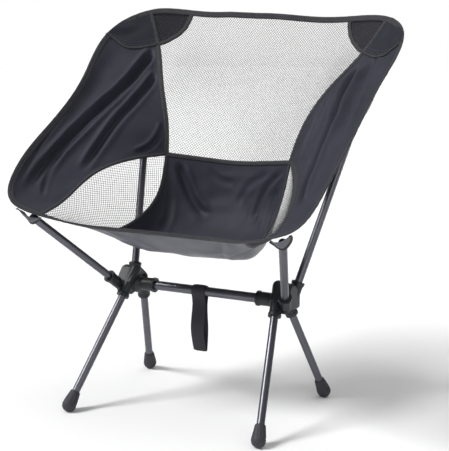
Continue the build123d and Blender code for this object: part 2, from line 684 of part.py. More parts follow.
def save_sling():
    """Writes the fabric panels with their hems, tapes, patches and pockets."""
    save(make_seat(), "seat_panel")
    save(make_back_mesh(), "back_net")
    save_pair(make_wing(), "wing_panel")
    save_pair(make_side_mesh(), "side_net")
    save_pair(make_corner_patch(), "corner_patch")
    save(make_front_hem(), "hem_front")
    save(make_top_hem(), "hem_top")
    save_pair(make_side_hem(), "hem_side")
    save_pair(make_back_seam_tape(), "tape_back")
    save_pair(make_wing_seam_tape(), "tape_wing")
    save_pair(make_seat_side_tape(), "tape_seat_side")
    save(make_seat_back_tape(), "tape_seat_back")
    save_pair(make_pocket(UPRIGHT_FRONT_ROOT, UPRIGHT_FRONT_TIP, POCKET_FRONT_ROOM), "pocket_front")
    save_pair(make_pocket(UPRIGHT_BACK_ROOT, UPRIGHT_BACK_TIP, POCKET_BACK_ROOM), "pocket_back")


save_frame()
save_sling()
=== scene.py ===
"""Ultralight take-apart camp chair: the sewn sling, its nets, tapes, stitches, pockets and
storage strap, built around the rigid frame, and the finishes of the frame's own parts.

Metres, with the origin on the floor under the chair. -Y is the way the sitter faces and +X
is right. The right half is written out, and the left half is its mirror image.
"""

import math
from functools import partial

import bpy
import numpy as np
from mathutils import Matrix, Vector


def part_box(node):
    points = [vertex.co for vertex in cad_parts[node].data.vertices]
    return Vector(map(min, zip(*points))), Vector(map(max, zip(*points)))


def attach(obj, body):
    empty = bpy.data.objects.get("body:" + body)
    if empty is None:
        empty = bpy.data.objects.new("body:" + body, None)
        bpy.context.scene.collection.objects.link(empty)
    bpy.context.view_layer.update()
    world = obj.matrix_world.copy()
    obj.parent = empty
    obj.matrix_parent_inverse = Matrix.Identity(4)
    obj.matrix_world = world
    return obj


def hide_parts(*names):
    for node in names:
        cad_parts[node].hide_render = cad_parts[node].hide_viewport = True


bl_info = {
    "name": "Take-apart Camp Chair",
    "version": (1, 0, 0),
    "blender": (4, 5, 0),
    "location": "3D View > Sidebar > Camp Chair",
    "description": "Sews the cloth sling of a take-apart camp chair onto its frame",
    "category": "Object",
}

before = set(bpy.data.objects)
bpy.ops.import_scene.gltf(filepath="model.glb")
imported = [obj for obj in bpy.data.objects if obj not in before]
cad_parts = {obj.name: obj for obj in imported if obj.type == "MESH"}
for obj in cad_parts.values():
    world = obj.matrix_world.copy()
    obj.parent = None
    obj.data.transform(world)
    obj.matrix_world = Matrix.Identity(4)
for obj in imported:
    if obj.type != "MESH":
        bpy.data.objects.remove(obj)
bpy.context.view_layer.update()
BAR_LOW, BAR_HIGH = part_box("crossbar")
BAR_Y = (BAR_LOW[1] + BAR_HIGH[1]) / 2  # the crossbar's axis
BAR_Z = (BAR_LOW[2] + BAR_HIGH[2]) / 2
BAR_RADIUS = (BAR_HIGH[2] - BAR_LOW[2]) / 2
MIRROR = np.array((-1.0, 1.0, 1.0))
SIDES = (("right", np.ones(3)), ("left", MIRROR))
BOTH_ENDS = (0, -1)  # a tube closed at its first row and its last
MM = 0.001


# ---------------------------------------------------------------- curves and surfaces
def place(x, y, z):
    """A point in metres, given in millimetres: to the right of the middle, back from the
    crossbar's axis, and up from the floor."""
    return np.array((x * MM, y * MM + BAR_Y, z * MM))


def unit(vectors):
    """Vectors made one long."""
    return vectors / np.maximum(np.linalg.norm(vectors, axis=-1, keepdims=True), 1e-12)


def square_to(vectors, runs):
    """Vectors turned square to a line's runs, and made one long."""
    return unit(vectors - runs * (vectors * runs).sum(-1, keepdims=True))


def eased(share):
    """A share from 0 to 1 that starts and ends gently."""
    share = np.clip(share, 0, 1)
    return share * share * (3 - 2 * share)


class Line:
    """A curve through close points, read by its share of length."""

    def __init__(self, points):
        self.points = np.array(points, float)
        steps = np.linalg.norm(np.diff(self.points, axis=0), axis=1)
        self.lengths = np.concatenate([[0], np.cumsum(steps)])
        self.length = self.lengths[-1]

    def at(self, share):
        along = np.asarray(share, float) * self.length
        return np.stack([np.interp(along, self.lengths, self.points[:, k]) for k in range(3)], -1)

    def share_near(self, point):
        nearest = np.argmin(np.linalg.norm(self.points - point, axis=1))
        return self.lengths[nearest] / self.length

    def part(self, start, end):
        return Line(self.at(np.linspace(start, end, 400)))

    def mirrored(self):
        return Line(self.points * MIRROR)


def smooth(knots, first_run=None, last_run=None):
    """A cubic spline through a few points. A run fixes its direction at that end."""
    knots = np.array(knots, float)
    steps = np.linalg.norm(np.diff(knots, axis=0), axis=1)
    matrix = np.zeros((len(knots), len(knots)))
    right = np.zeros((len(knots), 3))
    slopes = np.diff(knots, axis=0) / steps[:, None]
    for k in range(1, len(knots) - 1):
        matrix[k, k - 1:k + 2] = steps[k - 1], 2 * (steps[k - 1] + steps[k]), steps[k]
        right[k] = 6 * (slopes[k] - slopes[k - 1])
    matrix[0, 0] = matrix[-1, -1] = 1
    if first_run is not None:
        matrix[0, :2] = 2 * steps[0], steps[0]
        right[0] = 6 * (slopes[0] - np.array(first_run))
    if last_run is not None:
        matrix[-1, -2:] = steps[-1], 2 * steps[-1]
        right[-1] = 6 * (np.array(last_run) - slopes[-1])
    bends = np.linalg.solve(matrix, right)
    dense = []
    for k, step in enumerate(steps):
        done = np.linspace(0, step, 80, endpoint=False)[:, None]
        rest = step - done
        dense.append(
            bends[k] * rest**3 / (6 * step) + bends[k + 1] * done**3 / (6 * step)
            + (knots[k] / step - bends[k] * step / 6) * rest
            + (knots[k + 1] / step - bends[k + 1] * step / 6) * done
        )
    return Line(np.concatenate([*dense, knots[-1:]]))


def both_sides(line):
    """A line from the middle, carried on to its mirror image."""
    return Line(np.concatenate([line.points[:0:-1] * MIRROR, line.points]))


def pillow(across, along):
    """1 in the middle of a panel and 0 at its edges."""
    return 16 * across * (1 - across) * along * (1 - along)


def seat_hollow(across, along):
    """The seat drops as a trough: steep at its sides, round along its length and at the front."""
    steepness = 3 + 17 * np.clip((0.8 - along) / 0.4, 0, 1)
    return (1 - np.abs(2 * across - 1) ** steepness) * (1 - np.abs(2 * along - 1) ** 2)


class Panel:
    """A piece of cloth stretched between four seams, with a swell in the middle."""

    def __init__(self, near, far, low, high, facing, swell=(0, 0, 0), shape=pillow):
        self.near, self.far, self.low, self.high = near, far, low, high
        self.facing = unit(np.array(facing, float))
        self.swell, self.shape = np.array(swell, float), shape

    def at(self, across, along):
        across, along = np.broadcast_arrays(np.asarray(across, float), np.asarray(along, float))
        s, t = across[..., None], along[..., None]
        sides = self.near.at(along) * (1 - s) + self.far.at(along) * s
        ends = self.low.at(across) * (1 - t) + self.high.at(across) * t
        first = self.near.at(0) * (1 - s) + self.far.at(0) * s
        last = self.near.at(1) * (1 - s) + self.far.at(1) * s
        flat = sides + ends - first * (1 - t) - last * t
        return flat + self.swell * self.shape(across, along)[..., None]

    def normal(self, across, along):
        """Unit normals on the sitter's side."""
        step = 0.004
        ahead, behind = np.minimum(across + step, 1), np.maximum(across - step, 0)
        above, below = np.minimum(along + step, 1), np.maximum(along - step, 0)
        run = self.at(ahead, along) - self.at(behind, along)
        rise = self.at(across, above) - self.at(across, below)
        normals = unit(np.cross(run, rise))
        return normals * np.sign(normals @ self.facing)[..., None]

    def inward(self, edge, share, reach=0.05):
        """Unit directions from an edge into the panel."""
        share = np.asarray(share, float)
        zero, one = np.zeros_like(share), np.ones_like(share)
        starts = {
            "near": (zero, share), "far": (one, share), "low": (share, zero), "high": (share, one),
        }
        ends = {
            "near": (zero + reach, share), "far": (one - reach, share),
            "low": (share, zero + reach), "high": (share, one - reach),
        }
        return unit(self.at(*ends[edge]) - self.at(*starts[edge]))


# the sling's seams, where the plain cloth solids have them. Only the wing's lower seam is moved,
# by up to 9 mm, so that the net beside the seat shows from in front.
HEM_TOP_CORNER = place(236, 222, 652)
HEM_SIDE_TOP = place(281, 170, 628)
HEM_FRONT_CORNER = place(207, -184, 335)
HEM_FRONT_QUARTER = place(150, -157, 321)
SEAT_BACK_CORNER = place(120, 78, 410)
HEM_LINE = smooth(
    [
        place(0, 250, 650), place(125, 248, 647), HEM_TOP_CORNER, HEM_SIDE_TOP, place(280, 60, 544),
        place(278, -60, 463), place(276, -150, 405), place(255, -194, 357), HEM_FRONT_CORNER,
        HEM_FRONT_QUARTER, place(80, -130, 315), place(0, -120, 313),
    ],
    (1, 0, 0), (-1, 0, 0),
)
BACK_SEAM = smooth([
    SEAT_BACK_CORNER, place(131, 98, 461), place(158, 130, 521), place(200, 190, 587), HEM_TOP_CORNER,
])
WING_SEAM = smooth([
    SEAT_BACK_CORNER, place(163, 2, 404), place(189, -58, 385), place(200.5, -121, 352),
    HEM_FRONT_CORNER,
])
SEAT_SEAM = smooth([
    SEAT_BACK_CORNER, place(118, 45, 345), place(124, -15, 310), place(136, -85, 299),
    HEM_FRONT_QUARTER,
])
LOW_SEAM = smooth([
    SEAT_BACK_CORNER * MIRROR, place(-65, 100, 403), place(0, 112, 398), place(65, 100, 403),
    SEAT_BACK_CORNER,
])
TOP = HEM_LINE.share_near(HEM_TOP_CORNER)
SIDE = HEM_LINE.share_near(HEM_SIDE_TOP)
CORNER = HEM_LINE.share_near(HEM_FRONT_CORNER)
QUARTER = HEM_LINE.share_near(HEM_FRONT_QUARTER)
WING_FACING = np.array((-0.6, -0.4, 0.7))
NET_FACING = np.array((0, -0.9, 0.4))
WING = Panel(
    BACK_SEAM, HEM_LINE.part(CORNER, SIDE), WING_SEAM, HEM_LINE.part(TOP, SIDE),
    WING_FACING, WING_FACING * -0.010,
)
SEAT = Panel(
    SEAT_SEAM.mirrored(), SEAT_SEAM, LOW_SEAM, both_sides(HEM_LINE.part(1, QUARTER)),
    (0, -0.3, 1), (0, 0, -0.0345), seat_hollow,
)
NET = Panel(
    BACK_SEAM.mirrored(), BACK_SEAM, LOW_SEAM, both_sides(HEM_LINE.part(0, TOP)),
    NET_FACING, NET_FACING * -0.006,
)
SIDE_NET = Panel(
    SEAT_SEAM, WING_SEAM, Line([SEAT_BACK_CORNER, SEAT_BACK_CORNER + 1e-6]),
    HEM_LINE.part(QUARTER, CORNER), (-0.7, -0.2, 0.7), (0.013, 0, -0.005),
)
UPRIGHTS = {
    "front": (place(158, -22, 192), place(221.6, -174.9, 327.7)),
    "back": (place(153, 17, 192), place(234, 234, 637)),
}

# folds pulled into the cloth: the way of each over its panel (across, along), then how deep
# and how wide it is in millimetres. A deep fold has a ridge on each side of its valley.
# Each grows over its first share of length and dies away over its last.
FOLD_START, FOLD_END = 0.12, 0.22
FLAT_EDGE = 0.005  # flat cloth along a seam, under the tape
FOLD_RISE = 0.011  # then folds reach their full height in this
CRUMPLE_SIZE = 0.045
WING_FOLDS = {
    "left": [
        ([(0.03, 0.74), (0.19, 0.61), (0.33, 0.48), (0.43, 0.40), (0.54, 0.32), (0.74, 0.21),
          (0.90, 0.10)], 12.0, 8.0),
        ([(0.22, 0.50), (0.40, 0.35), (0.51, 0.26), (0.61, 0.21), (0.70, 0.17), (0.80, 0.10)],
         4.0, 3.5),
        ([(0.01, 0.56), (0.14, 0.42), (0.24, 0.32), (0.32, 0.23), (0.38, 0.15), (0.56, 0.04)],
         9.0, 6.5),
        ([(0.01, 0.20), (0.06, 0.10), (0.11, 0.06), (0.22, 0.03)], 5.0, 5.0),
        ([(0.96, 0.55), (0.94, 0.39), (0.92, 0.28), (0.94, 0.16)], 4.0, 5.5),
        ([(0.62, 0.20), (0.73, 0.13), (0.84, 0.06)], 2.4, 4.0),
        ([(0.50, 0.80), (0.70, 0.62), (0.80, 0.40)], 1.6, 16.0),
    ],
    "right": [
        ([(0.10, 0.70), (0.17, 0.55), (0.24, 0.44), (0.34, 0.30), (0.40, 0.18), (0.52, 0.08),
          (0.76, 0.04)], 13.0, 9.0),
        ([(0.24, 0.78), (0.36, 0.60), (0.44, 0.46), (0.54, 0.30)], 5.0, 8.5),
        ([(0.02, 0.40), (0.12, 0.28), (0.14, 0.14), (0.30, 0.05)], 4.0, 7.0),
        ([(0.70, 0.86), (0.76, 0.66), (0.86, 0.44)], 2.5, 14.0),
    ],
}
SEAT_FOLDS = [
    ([(0.08, 0.01), (0.16, 0.12), (0.23, 0.19), (0.36, 0.27)], 7.0, 8.0),
    ([(0.02, 0.10), (0.08, 0.26), (0.10, 0.44)], 3.0, 7.0),
    ([(0.95, 0.02), (0.84, 0.08), (0.77, 0.15), (0.73, 0.30)], 4.6, 7.5),
    ([(0.80, 0.03), (0.70, 0.07), (0.62, 0.11), (0.57, 0.20)], 2.4, 7.5),
    ([(0.93, 0.10), (0.88, 0.22), (0.90, 0.42)], 3.2, 7.0),
    ([(0.30, 0.02), (0.38, 0.07), (0.52, 0.08)], 1.6, 7.0),
    ([(0.12, 0.97), (0.20, 0.86), (0.26, 0.72)], 2.2, 9.0),
    ([(0.88, 0.97), (0.82, 0.84), (0.76, 0.70)], 2.2, 9.0),
]


def fold_way(panel, knots):
    """A fold's line over a panel."""
    flat = smooth([(across, along, 0) for across, along in knots])
    ways = flat.at(np.linspace(0, 1, 90))
    return panel.at(ways[:, 0], ways[:, 1])


def fold_heights(panel, across, along, folds):
    """How far folds and fine crumples lift the cloth of a panel off its smooth surface."""
    points = panel.at(across, along)
    normals = panel.normal(across, along)
    heights = np.zeros(points.shape[:-1])
    for knots, depth, width in folds:
        way = fold_way(panel, knots)
        runs = unit(np.gradient(way, axis=0))
        gaps = points[..., None, :] - way
        distances = np.linalg.norm(gaps, axis=-1)
        nearest = np.argmin(distances, axis=-1)
        near = np.take_along_axis(distances, nearest[..., None], -1)[..., 0]
        gap = np.take_along_axis(gaps, nearest[..., None, None], -2)[..., 0, :]
        turned = np.cross(runs[nearest], gap)
        side = np.sign((turned * normals).sum(-1))
        share = nearest / (len(way) - 1)
        fade = eased(np.clip(share / FOLD_START, 0, 1) * np.clip((1 - share) / FOLD_END, 0, 1))
        off = near * side / (width * MM)        # a valley, and a ridge on each side of it
        shape = 0.75 * np.exp(-((off - 1.35) / 0.8) ** 2) - np.exp(-off**2)
        shape += 0.35 * np.exp(-((off + 1.6) / 0.9) ** 2)
        heights += depth * MM * fade * shape
    return heights


def crumple(points, size, seed):
    """Soft uneven swells of about the given size, for cloth that was packed small."""
    draw = np.random.default_rng(seed)
    total = np.zeros(points.shape[:-1])
    for _ in range(9):
        direction = unit(draw.normal(size=3))
        pitch = size * draw.uniform(0.6, 1.7)
        bend = np.sin(points @ unit(draw.normal(size=3)) * 2 * math.pi / (2.3 * pitch))
        total += np.sin(points @ direction * 2 * math.pi / pitch + bend + draw.uniform(0, 6.3))
    return total / 3


def edge_room(panel, across, along):
    """Distance from each point of a panel to its nearest edge."""
    wide = np.linalg.norm(panel.at(1, along) - panel.at(0, along), axis=-1)
    tall = np.linalg.norm(panel.at(across, 1) - panel.at(across, 0), axis=-1)
    return np.minimum(np.minimum(across, 1 - across) * wide, np.minimum(along, 1 - along) * tall)


def cloth_points(panel, across, along, folds, crumple_height, seed, lift):
    """Points of the folded cloth, lifted off the seams' own surface."""
    room = eased((edge_room(panel, across, along) - FLAT_EDGE) / FOLD_RISE)
    points = panel.at(across, along)
    heights = fold_heights(panel, across, along, folds)
    heights += crumple_height * crumple(points, CRUMPLE_SIZE, seed)
    return points + panel.normal(across, along) * (heights * room + lift)[..., None]


# ---------------------------------------------------------------- meshes
def add_object(name, data):
    """A new object in the scene."""
    piece = bpy.data.objects.new(name, data)
    bpy.context.collection.objects.link(piece)
    return piece


def mesh_piece(name, points, faces, materials, loops_uv=None):
    """A mesh object at the origin, shaded smooth, with its own UV map in metres."""
    mesh = bpy.data.meshes.new(name)
    mesh.from_pydata([tuple(p) for p in points], [], faces)
    if loops_uv is not None:
        layer = mesh.uv_layers.new(name="Cut")
        layer.data.foreach_set("uv", np.asarray(loops_uv, float).ravel())
    mesh.polygons.foreach_set("use_smooth", [True] * len(mesh.polygons))
    for material in materials:
        mesh.materials.append(material)
    mesh.update()
    return add_object(name, mesh)


def grid_piece(name, points, materials, facing=None, around=False, closed=False, caps=()):
    """A mesh over rows of points. around joins each row's ends, closed joins the last row to
    the first, and caps close the first row (0) or the last (-1). UVs are real lengths."""
    points = np.asarray(points, float)
    if facing is not None:
        middle = points[len(points) // 2:][:2, points.shape[1] // 2:][:, :2]
        turn = np.cross(middle[0, 1] - middle[0, 0], middle[1, 0] - middle[0, 0])
        if turn @ np.asarray(facing, float) < 0:
            points = points[:, ::-1]
    rows, columns = points.shape[:2]
    wide, tall = columns + around, rows + closed
    shown = np.concatenate([points, points[:1]]) if closed else points
    shown = np.concatenate([shown, shown[:, :1]], axis=1) if around else shown
    run = np.linalg.norm(np.diff(shown, axis=1), axis=-1)
    rise = np.linalg.norm(np.diff(shown, axis=0), axis=-1)
    u = np.concatenate([np.zeros((tall, 1)), np.cumsum(run, axis=1)], axis=1)
    u = u - u[:, -1:] / 2
    v = np.concatenate([np.zeros(1), np.cumsum(rise.mean(axis=1))])
    faces, uvs = [], []
    for r in range(tall - 1):
        for c in range(wide - 1):
            corners = ((r, c), (r, c + 1), (r + 1, c + 1), (r + 1, c))
            faces.append([(i % rows) * columns + j % columns for i, j in corners])
            uvs.extend((u[i, j], v[i]) for i, j in corners)
    for cap in caps:
        row, order = (rows - 1, 1) if cap else (0, -1)
        faces.append([row * columns + j for j in range(columns)][::order])
        uvs.extend((u[row, j % columns], v[row]) for j in range(columns))
    piece = mesh_piece(name, points.reshape(-1, 3), faces, materials, uvs)
    if around and (closed or caps) and signed_volume(piece) < 0:
        piece.data.flip_normals()
    return piece


def signed_volume(piece):
    """Above 0 for a mesh whose faces point out, closed or open at one end."""
    piece.data.calc_loop_triangles()
    points = np.array([v.co for v in piece.data.vertices])
    points -= points.mean(axis=0)
    corners = points[np.array([t.vertices for t in piece.data.loop_triangles])]
    return float(np.einsum("ij,ij->", corners[:, 0], np.cross(corners[:, 1], corners[:, 2])) / 6)


def thicken(piece, thickness):
    """Gives cloth its thickness, away from the sitter, and its second finish on the back."""
    wall = piece.modifiers.new("Cloth thickness", "SOLIDIFY")
    wall.thickness = thickness
    wall.offset = -1
    wall.material_offset = 1
    wall.use_even_offset = True


# how far the cloth sits up or down at each place across the chair, and the height over which
# that grows from nothing
LEAN_WAYS = (-0.29, -0.22, -0.08, -0.02, 0.13, 0.24, 0.29)
LEAN_LIFTS = (0.002, 0.009, 0.010, 0.005, 0.001, -0.003, -0.002)
LEAN_FROM, LEAN_OVER = 0.50, 0.14


def lean(piece):
    """Lets the top of the sling sit a little uneven, as slack cloth does on its poles."""
    points = np.array([v.co for v in piece.data.vertices])
    rise = eased((points[:, 2] - LEAN_FROM) / LEAN_OVER)
    points[:, 2] += rise * np.interp(points[:, 0], LEAN_WAYS, LEAN_LIFTS)
    piece.data.vertices.foreach_set("co", points.ravel())
    piece.data.update()


def settle(piece, body, slot, *nodes):
    """The piece rides on a body and stands for CAD nodes. The finish slot it is given is not used."""
    if body == "seat":
        lean(piece)
    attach(piece, body)
    if nodes:
        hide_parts(*nodes)


def freeze(piece):
    """Turns what the piece's modifiers make into its plain mesh."""
    bpy.context.view_layer.update()
    finished = piece.evaluated_get(bpy.context.evaluated_depsgraph_get())
    shape = bpy.data.meshes.new_from_object(finished)
    piece.modifiers.clear()
    piece.data = shape
    shape.name = piece.name
    shape.polygons.foreach_set("use_smooth", [True] * len(shape.polygons))


# ---------------------------------------------------------------- nodes
def feed(node, links):
    """Links a node's sockets, each to another node's first output or to the socket given."""
    for socket, source in links.items():
        start = source.outputs[0] if isinstance(source, bpy.types.Node) else source
        node.id_data.links.new(start, node.inputs[socket])


def add_node(tree, kind, values=None, links=None, **settings):
    """Adds a node with its settings, its sockets' values and the links into it."""
    node = tree.nodes.new(kind)
    for name, value in settings.items():
        setattr(node, name, value)
    for socket, value in (values or {}).items():
        node.inputs[socket].default_value = value
    feed(node, links or {})
    return node


def new_tree(name, inputs):
    """A geometry tree with named inputs, what adds nodes to it, and those inputs."""
    tree = bpy.data.node_groups.new(name, "GeometryNodeTree")
    tree.interface.new_socket(name="Geometry", in_out="INPUT", socket_type="NodeSocketGeometry")
    for label, kind in inputs:
        tree.interface.new_socket(name=label, in_out="INPUT", socket_type=kind)
    tree.interface.new_socket(name="Geometry", in_out="OUTPUT", socket_type="NodeSocketGeometry")
    return tree, partial(add_node, tree), add_node(tree, "NodeGroupInput").outputs


def run_tree(piece, tree, values):
    """Runs a geometry tree on a piece with its inputs set, and keeps the result as a mesh."""
    modifier = piece.modifiers.new(tree.name, "NODES")
    modifier.node_group = tree
    for item in tree.interface.items_tree:
        if item.in_out == "INPUT" and item.name in values:
            modifier[item.identifier] = values[item.name]
    freeze(piece)


def end_tree(add, give, geometry):
    """Makes real meshes of the instances and gives them their finish."""
    real = add("GeometryNodeRealizeInstances", links={"Geometry": geometry})
    painted = add("GeometryNodeSetMaterial", links={"Geometry": real, "Material": give["Finish"]})
    add("NodeGroupOutput", links={0: painted})


def net_tree():
    """Knits threads over a panel: each thread zigzags and meets its neighbours at every turn."""
    tree, add, give = new_tree("Knitted net", [
        ("Cell Width", "NodeSocketFloat"), ("Cell Height", "NodeSocketFloat"),
        ("Threads", "NodeSocketInt"), ("Turns", "NodeSocketInt"),
        ("Thread Radius", "NodeSocketFloat"),
        ("Middle", "NodeSocketVector"), ("Across", "NodeSocketVector"), ("Along", "NodeSocketVector"),
        ("Off", "NodeSocketVector"), ("Finish", "NodeSocketMaterial"),
    ])
    half_cell, half_turn = (
        add("ShaderNodeMath", {1: 0.5}, {0: give[size]}, operation="MULTIPLY")
        for size in ("Cell Width", "Cell Height"))
    size_x, size_y = (
        add("ShaderNodeMath", links={0: half, 1: give[count]}, operation="MULTIPLY")
        for half, count in ((half_cell, "Threads"), (half_turn, "Turns")))
    grid = add("GeometryNodeMeshGrid", links={
        "Size X": size_x, "Size Y": size_y,
        "Vertices X": give["Threads"], "Vertices Y": give["Turns"],
    })
    index = add("GeometryNodeInputIndex")
    thread = add("ShaderNodeMath", links={0: index, 1: give["Turns"]}, operation="DIVIDE")
    thread = add("ShaderNodeMath", links={0: thread}, operation="FLOOR")
    turn = add("ShaderNodeMath", links={0: index, 1: give["Turns"]}, operation="MODULO")
    count = add("ShaderNodeMath", links={0: thread, 1: turn})
    odd = add("ShaderNodeMath", {1: 2.0}, {0: count}, operation="MODULO")
    swing = add("ShaderNodeMath", {1: 0.5}, {0: odd}, operation="SUBTRACT")
    shift = add("ShaderNodeMath", links={0: swing, 1: half_cell}, operation="MULTIPLY")
    spot = add("GeometryNodeInputPosition")
    parts = add("ShaderNodeSeparateXYZ", links={0: spot})
    x = add("ShaderNodeMath", links={0: parts, 1: shift})
    across, along = (
        add("ShaderNodeVectorMath", links={0: give[way], "Scale": far}, operation="SCALE")
        for way, far in (("Across", x), ("Along", parts.outputs[1])))
    flat = add("ShaderNodeVectorMath", links={0: across, 1: along})
    flat = add("ShaderNodeVectorMath", links={0: flat, 1: give["Middle"]})
    laid = add("GeometryNodeSetPosition", links={"Geometry": grid, "Position": flat})
    ends = add("GeometryNodeInputMeshEdgeVertices")
    gap = add("ShaderNodeMath", links={0: ends, 1: ends.outputs[1]}, operation="SUBTRACT")
    gap = add("ShaderNodeMath", links={0: gap}, operation="ABSOLUTE")
    crosswise = add(
        "FunctionNodeCompare", {1: 1.5}, {0: gap}, data_type="FLOAT", operation="GREATER_THAN")
    threads = add(
        "GeometryNodeDeleteGeometry",
        links={"Geometry": laid, "Selection": crosswise}, domain="EDGE", mode="EDGE_FACE")
    here = add("GeometryNodeInputPosition")
    start = add("ShaderNodeVectorMath", links={0: here, 1: give["Off"]})
    down = add("ShaderNodeVectorMath", {"Scale": -1.0}, {0: give["Off"]}, operation="SCALE")
    cast = add(
        "GeometryNodeRaycast", {"Ray Length": 1.0},
        {"Target Geometry": give["Geometry"], "Source Position": start, "Ray Direction": down})
    missed = add("FunctionNodeBooleanMath", links={0: cast.outputs["Is Hit"]}, operation="NOT")
    held = add(
        "GeometryNodeDeleteGeometry",
        links={"Geometry": threads, "Selection": missed}, domain="POINT", mode="ALL")
    dropped = add(
        "GeometryNodeSetPosition",
        links={"Geometry": held, "Position": cast.outputs["Hit Position"]})
    ways = add("GeometryNodeMeshToCurve", links={0: dropped})
    ring = add(
        "GeometryNodeCurvePrimitiveCircle", {"Resolution": 4}, {"Radius": give["Thread Radius"]},
        mode="RADIUS")
    tube = add(
        "GeometryNodeCurveToMesh", {"Fill Caps": True}, {"Curve": ways, "Profile Curve": ring})
    end_tree(add, give, tube)
    return tree


def stitch_tree():
    """Sets one short sunk stitch after another along seam lines."""
    tree, add, give = new_tree("Lockstitch", [
        ("Pitch", "NodeSocketFloat"), ("Stitch", "NodeSocketVector"),
        ("Finish", "NodeSocketMaterial"),
    ])
    ways = add("GeometryNodeMeshToCurve", links={0: give["Geometry"]})
    marks = add(
        "GeometryNodeResampleCurve", links={"Curve": ways, "Length": give["Pitch"]},
        mode="LENGTH")
    bead = add("GeometryNodeMeshUVSphere", {"Segments": 6, "Rings": 4, "Radius": 0.5})
    run = add("GeometryNodeInputTangent")
    turned = add("FunctionNodeAlignRotationToVector", links={"Vector": run}, axis="X")
    sewn = add("GeometryNodeInstanceOnPoints", links={
        "Points": marks, "Instance": bead, "Rotation": turned, "Scale": give["Stitch"],
    })
    end_tree(add, give, sewn)
    return tree


# ---------------------------------------------------------------- finishes
def linear(colour):
    """An sRGB hex colour as linear RGBA."""
    parts = [int(colour.lstrip("#")[k:k + 2], 16) / 255 for k in (0, 2, 4)]
    return [c / 12.92 if c <= 0.04045 else ((c + 0.055) / 1.055) ** 2.4 for c in parts] + [1.0]


def wave_scale(pitch):
    """The scale at which a band wave repeats every pitch, in millimetres."""
    return math.pi / 10 / (pitch * MM)


def noise_scale(size):
    """The scale at which noise has lumps of a size, in millimetres."""
    return 1 / (size * MM)


def new_finish(name, roughness, metallic=0.0, **sockets):
    """A material, what adds nodes to its tree, and its shader."""
    material = bpy.data.materials.new(name)
    material.use_nodes = True
    shader = material.node_tree.nodes["Principled BSDF"]
    shader.inputs["Roughness"].default_value = roughness
    shader.inputs["Metallic"].default_value = metallic
    for socket, value in sockets.items():
        shader.inputs[socket.replace("_", " ")].default_value = value
    return material, partial(add_node, material.node_tree), shader


def mottle(add, shader, coordinates, dark, light, size):
    """Colour that drifts between two shades over lumps of a size in millimetres."""
    lumps = add(
        "ShaderNodeTexNoise", {"Scale": noise_scale(size), "Detail": 3.0, "Roughness": 0.6},
        {"Vector": coordinates})
    shades = add("ShaderNodeMix", {6: linear(dark), 7: linear(light)}, {0: lumps}, data_type="RGBA")
    feed(shader, {"Base Color": shades.outputs[2]})
    return shades


def woven_finish(name, dark, light, roughness, pitch, depth, sheen, crinkle=0.0, specular=0.5):
    """Plain-woven cloth: two sets of threads, over and under, on the cut's own UV map."""
    material, add, shader = new_finish(
        name, roughness, Sheen_Weight=sheen, Sheen_Roughness=0.5, Specular_IOR_Level=specular)
    cut = add("ShaderNodeUVMap", uv_map="Cut")
    spot = add("ShaderNodeTexCoord")
    mottle(add, shader, spot.outputs["Object"], dark, light, 38.0)
    warp, weft = (
        add("ShaderNodeTexWave", {"Scale": wave_scale(pitch)}, {"Vector": cut},
            bands_direction=way)
        for way in ("X", "Y"))
    crossing = add(
        "ShaderNodeMath", links={0: warp.outputs[1], 1: weft.outputs[1]}, operation="MULTIPLY")
    weave = add("ShaderNodeBump", {"Strength": 0.6, "Distance": depth * MM}, {"Height": crossing})
    last = weave
    if crinkle:
        creases = add(
            "ShaderNodeTexNoise", {"Scale": noise_scale(16), "Detail": 4.0, "Roughness": 0.55},
            {"Vector": spot.outputs["Object"]})
        last = add(
            "ShaderNodeBump", {"Strength": 0.7, "Distance": crinkle * MM},
            {"Height": creases, "Normal": weave})
    feed(shader, {"Normal": last})
    return material


def tape_finish(name, dark, light, roughness, rib, depth):
    """Woven tape: fine ribs across its length."""
    material, add, shader = new_finish(
        name, roughness, Sheen_Weight=0.05, Sheen_Roughness=0.5, Specular_IOR_Level=0.25)
    cut = add("ShaderNodeUVMap", uv_map="Cut")
    spot = add("ShaderNodeTexCoord")
    shades = mottle(add, shader, spot.outputs["Object"], dark, light, 22.0)
    ribs, ends = (
        add("ShaderNodeTexWave", {"Scale": wave_scale(pitch)}, {"Vector": cut},
            bands_direction=way)
        for way, pitch in (("Y", rib), ("X", rib * 0.7)))
    both = add(
        "ShaderNodeMath", links={0: ribs.outputs[1], 1: ends.outputs[1]}, operation="MULTIPLY")
    # the colour turns to the lighter shade where the ribs cross highest, on their crowns
    lighter_crowns = add(
        "ShaderNodeMix", {7: linear(light)}, {0: both, 6: shades.outputs[2]}, data_type="RGBA")
    raised = add("ShaderNodeBump", {"Strength": 0.7, "Distance": depth * MM}, {"Height": both})
    feed(shader, {"Base Color": lighter_crowns.outputs[2], "Normal": raised})
    return material


def speckled_finish(name, dark, light, roughness, grain, depth, metallic=0.0, **sockets):
    """A moulded, anodised or drawn surface: a faint grain on the object's own coordinates."""
    material, add, shader = new_finish(name, roughness, metallic, **sockets)
    spot = add("ShaderNodeTexCoord")
    mottle(add, shader, spot.outputs["Object"], dark, light, 30.0)
    grains = add(
        "ShaderNodeTexNoise", {"Scale": noise_scale(grain), "Detail": 2.0},
        {"Vector": spot.outputs["Object"]})
    rough = add(
        "ShaderNodeMapRange", {"To Min": roughness - 0.06, "To Max": roughness + 0.08},
        {"Value": grains})
    raised = add("ShaderNodeBump", {"Strength": 0.5, "Distance": depth * MM}, {"Height": grains})
    feed(shader, {"Roughness": rough, "Normal": raised})
    return material


FINISHES = {}


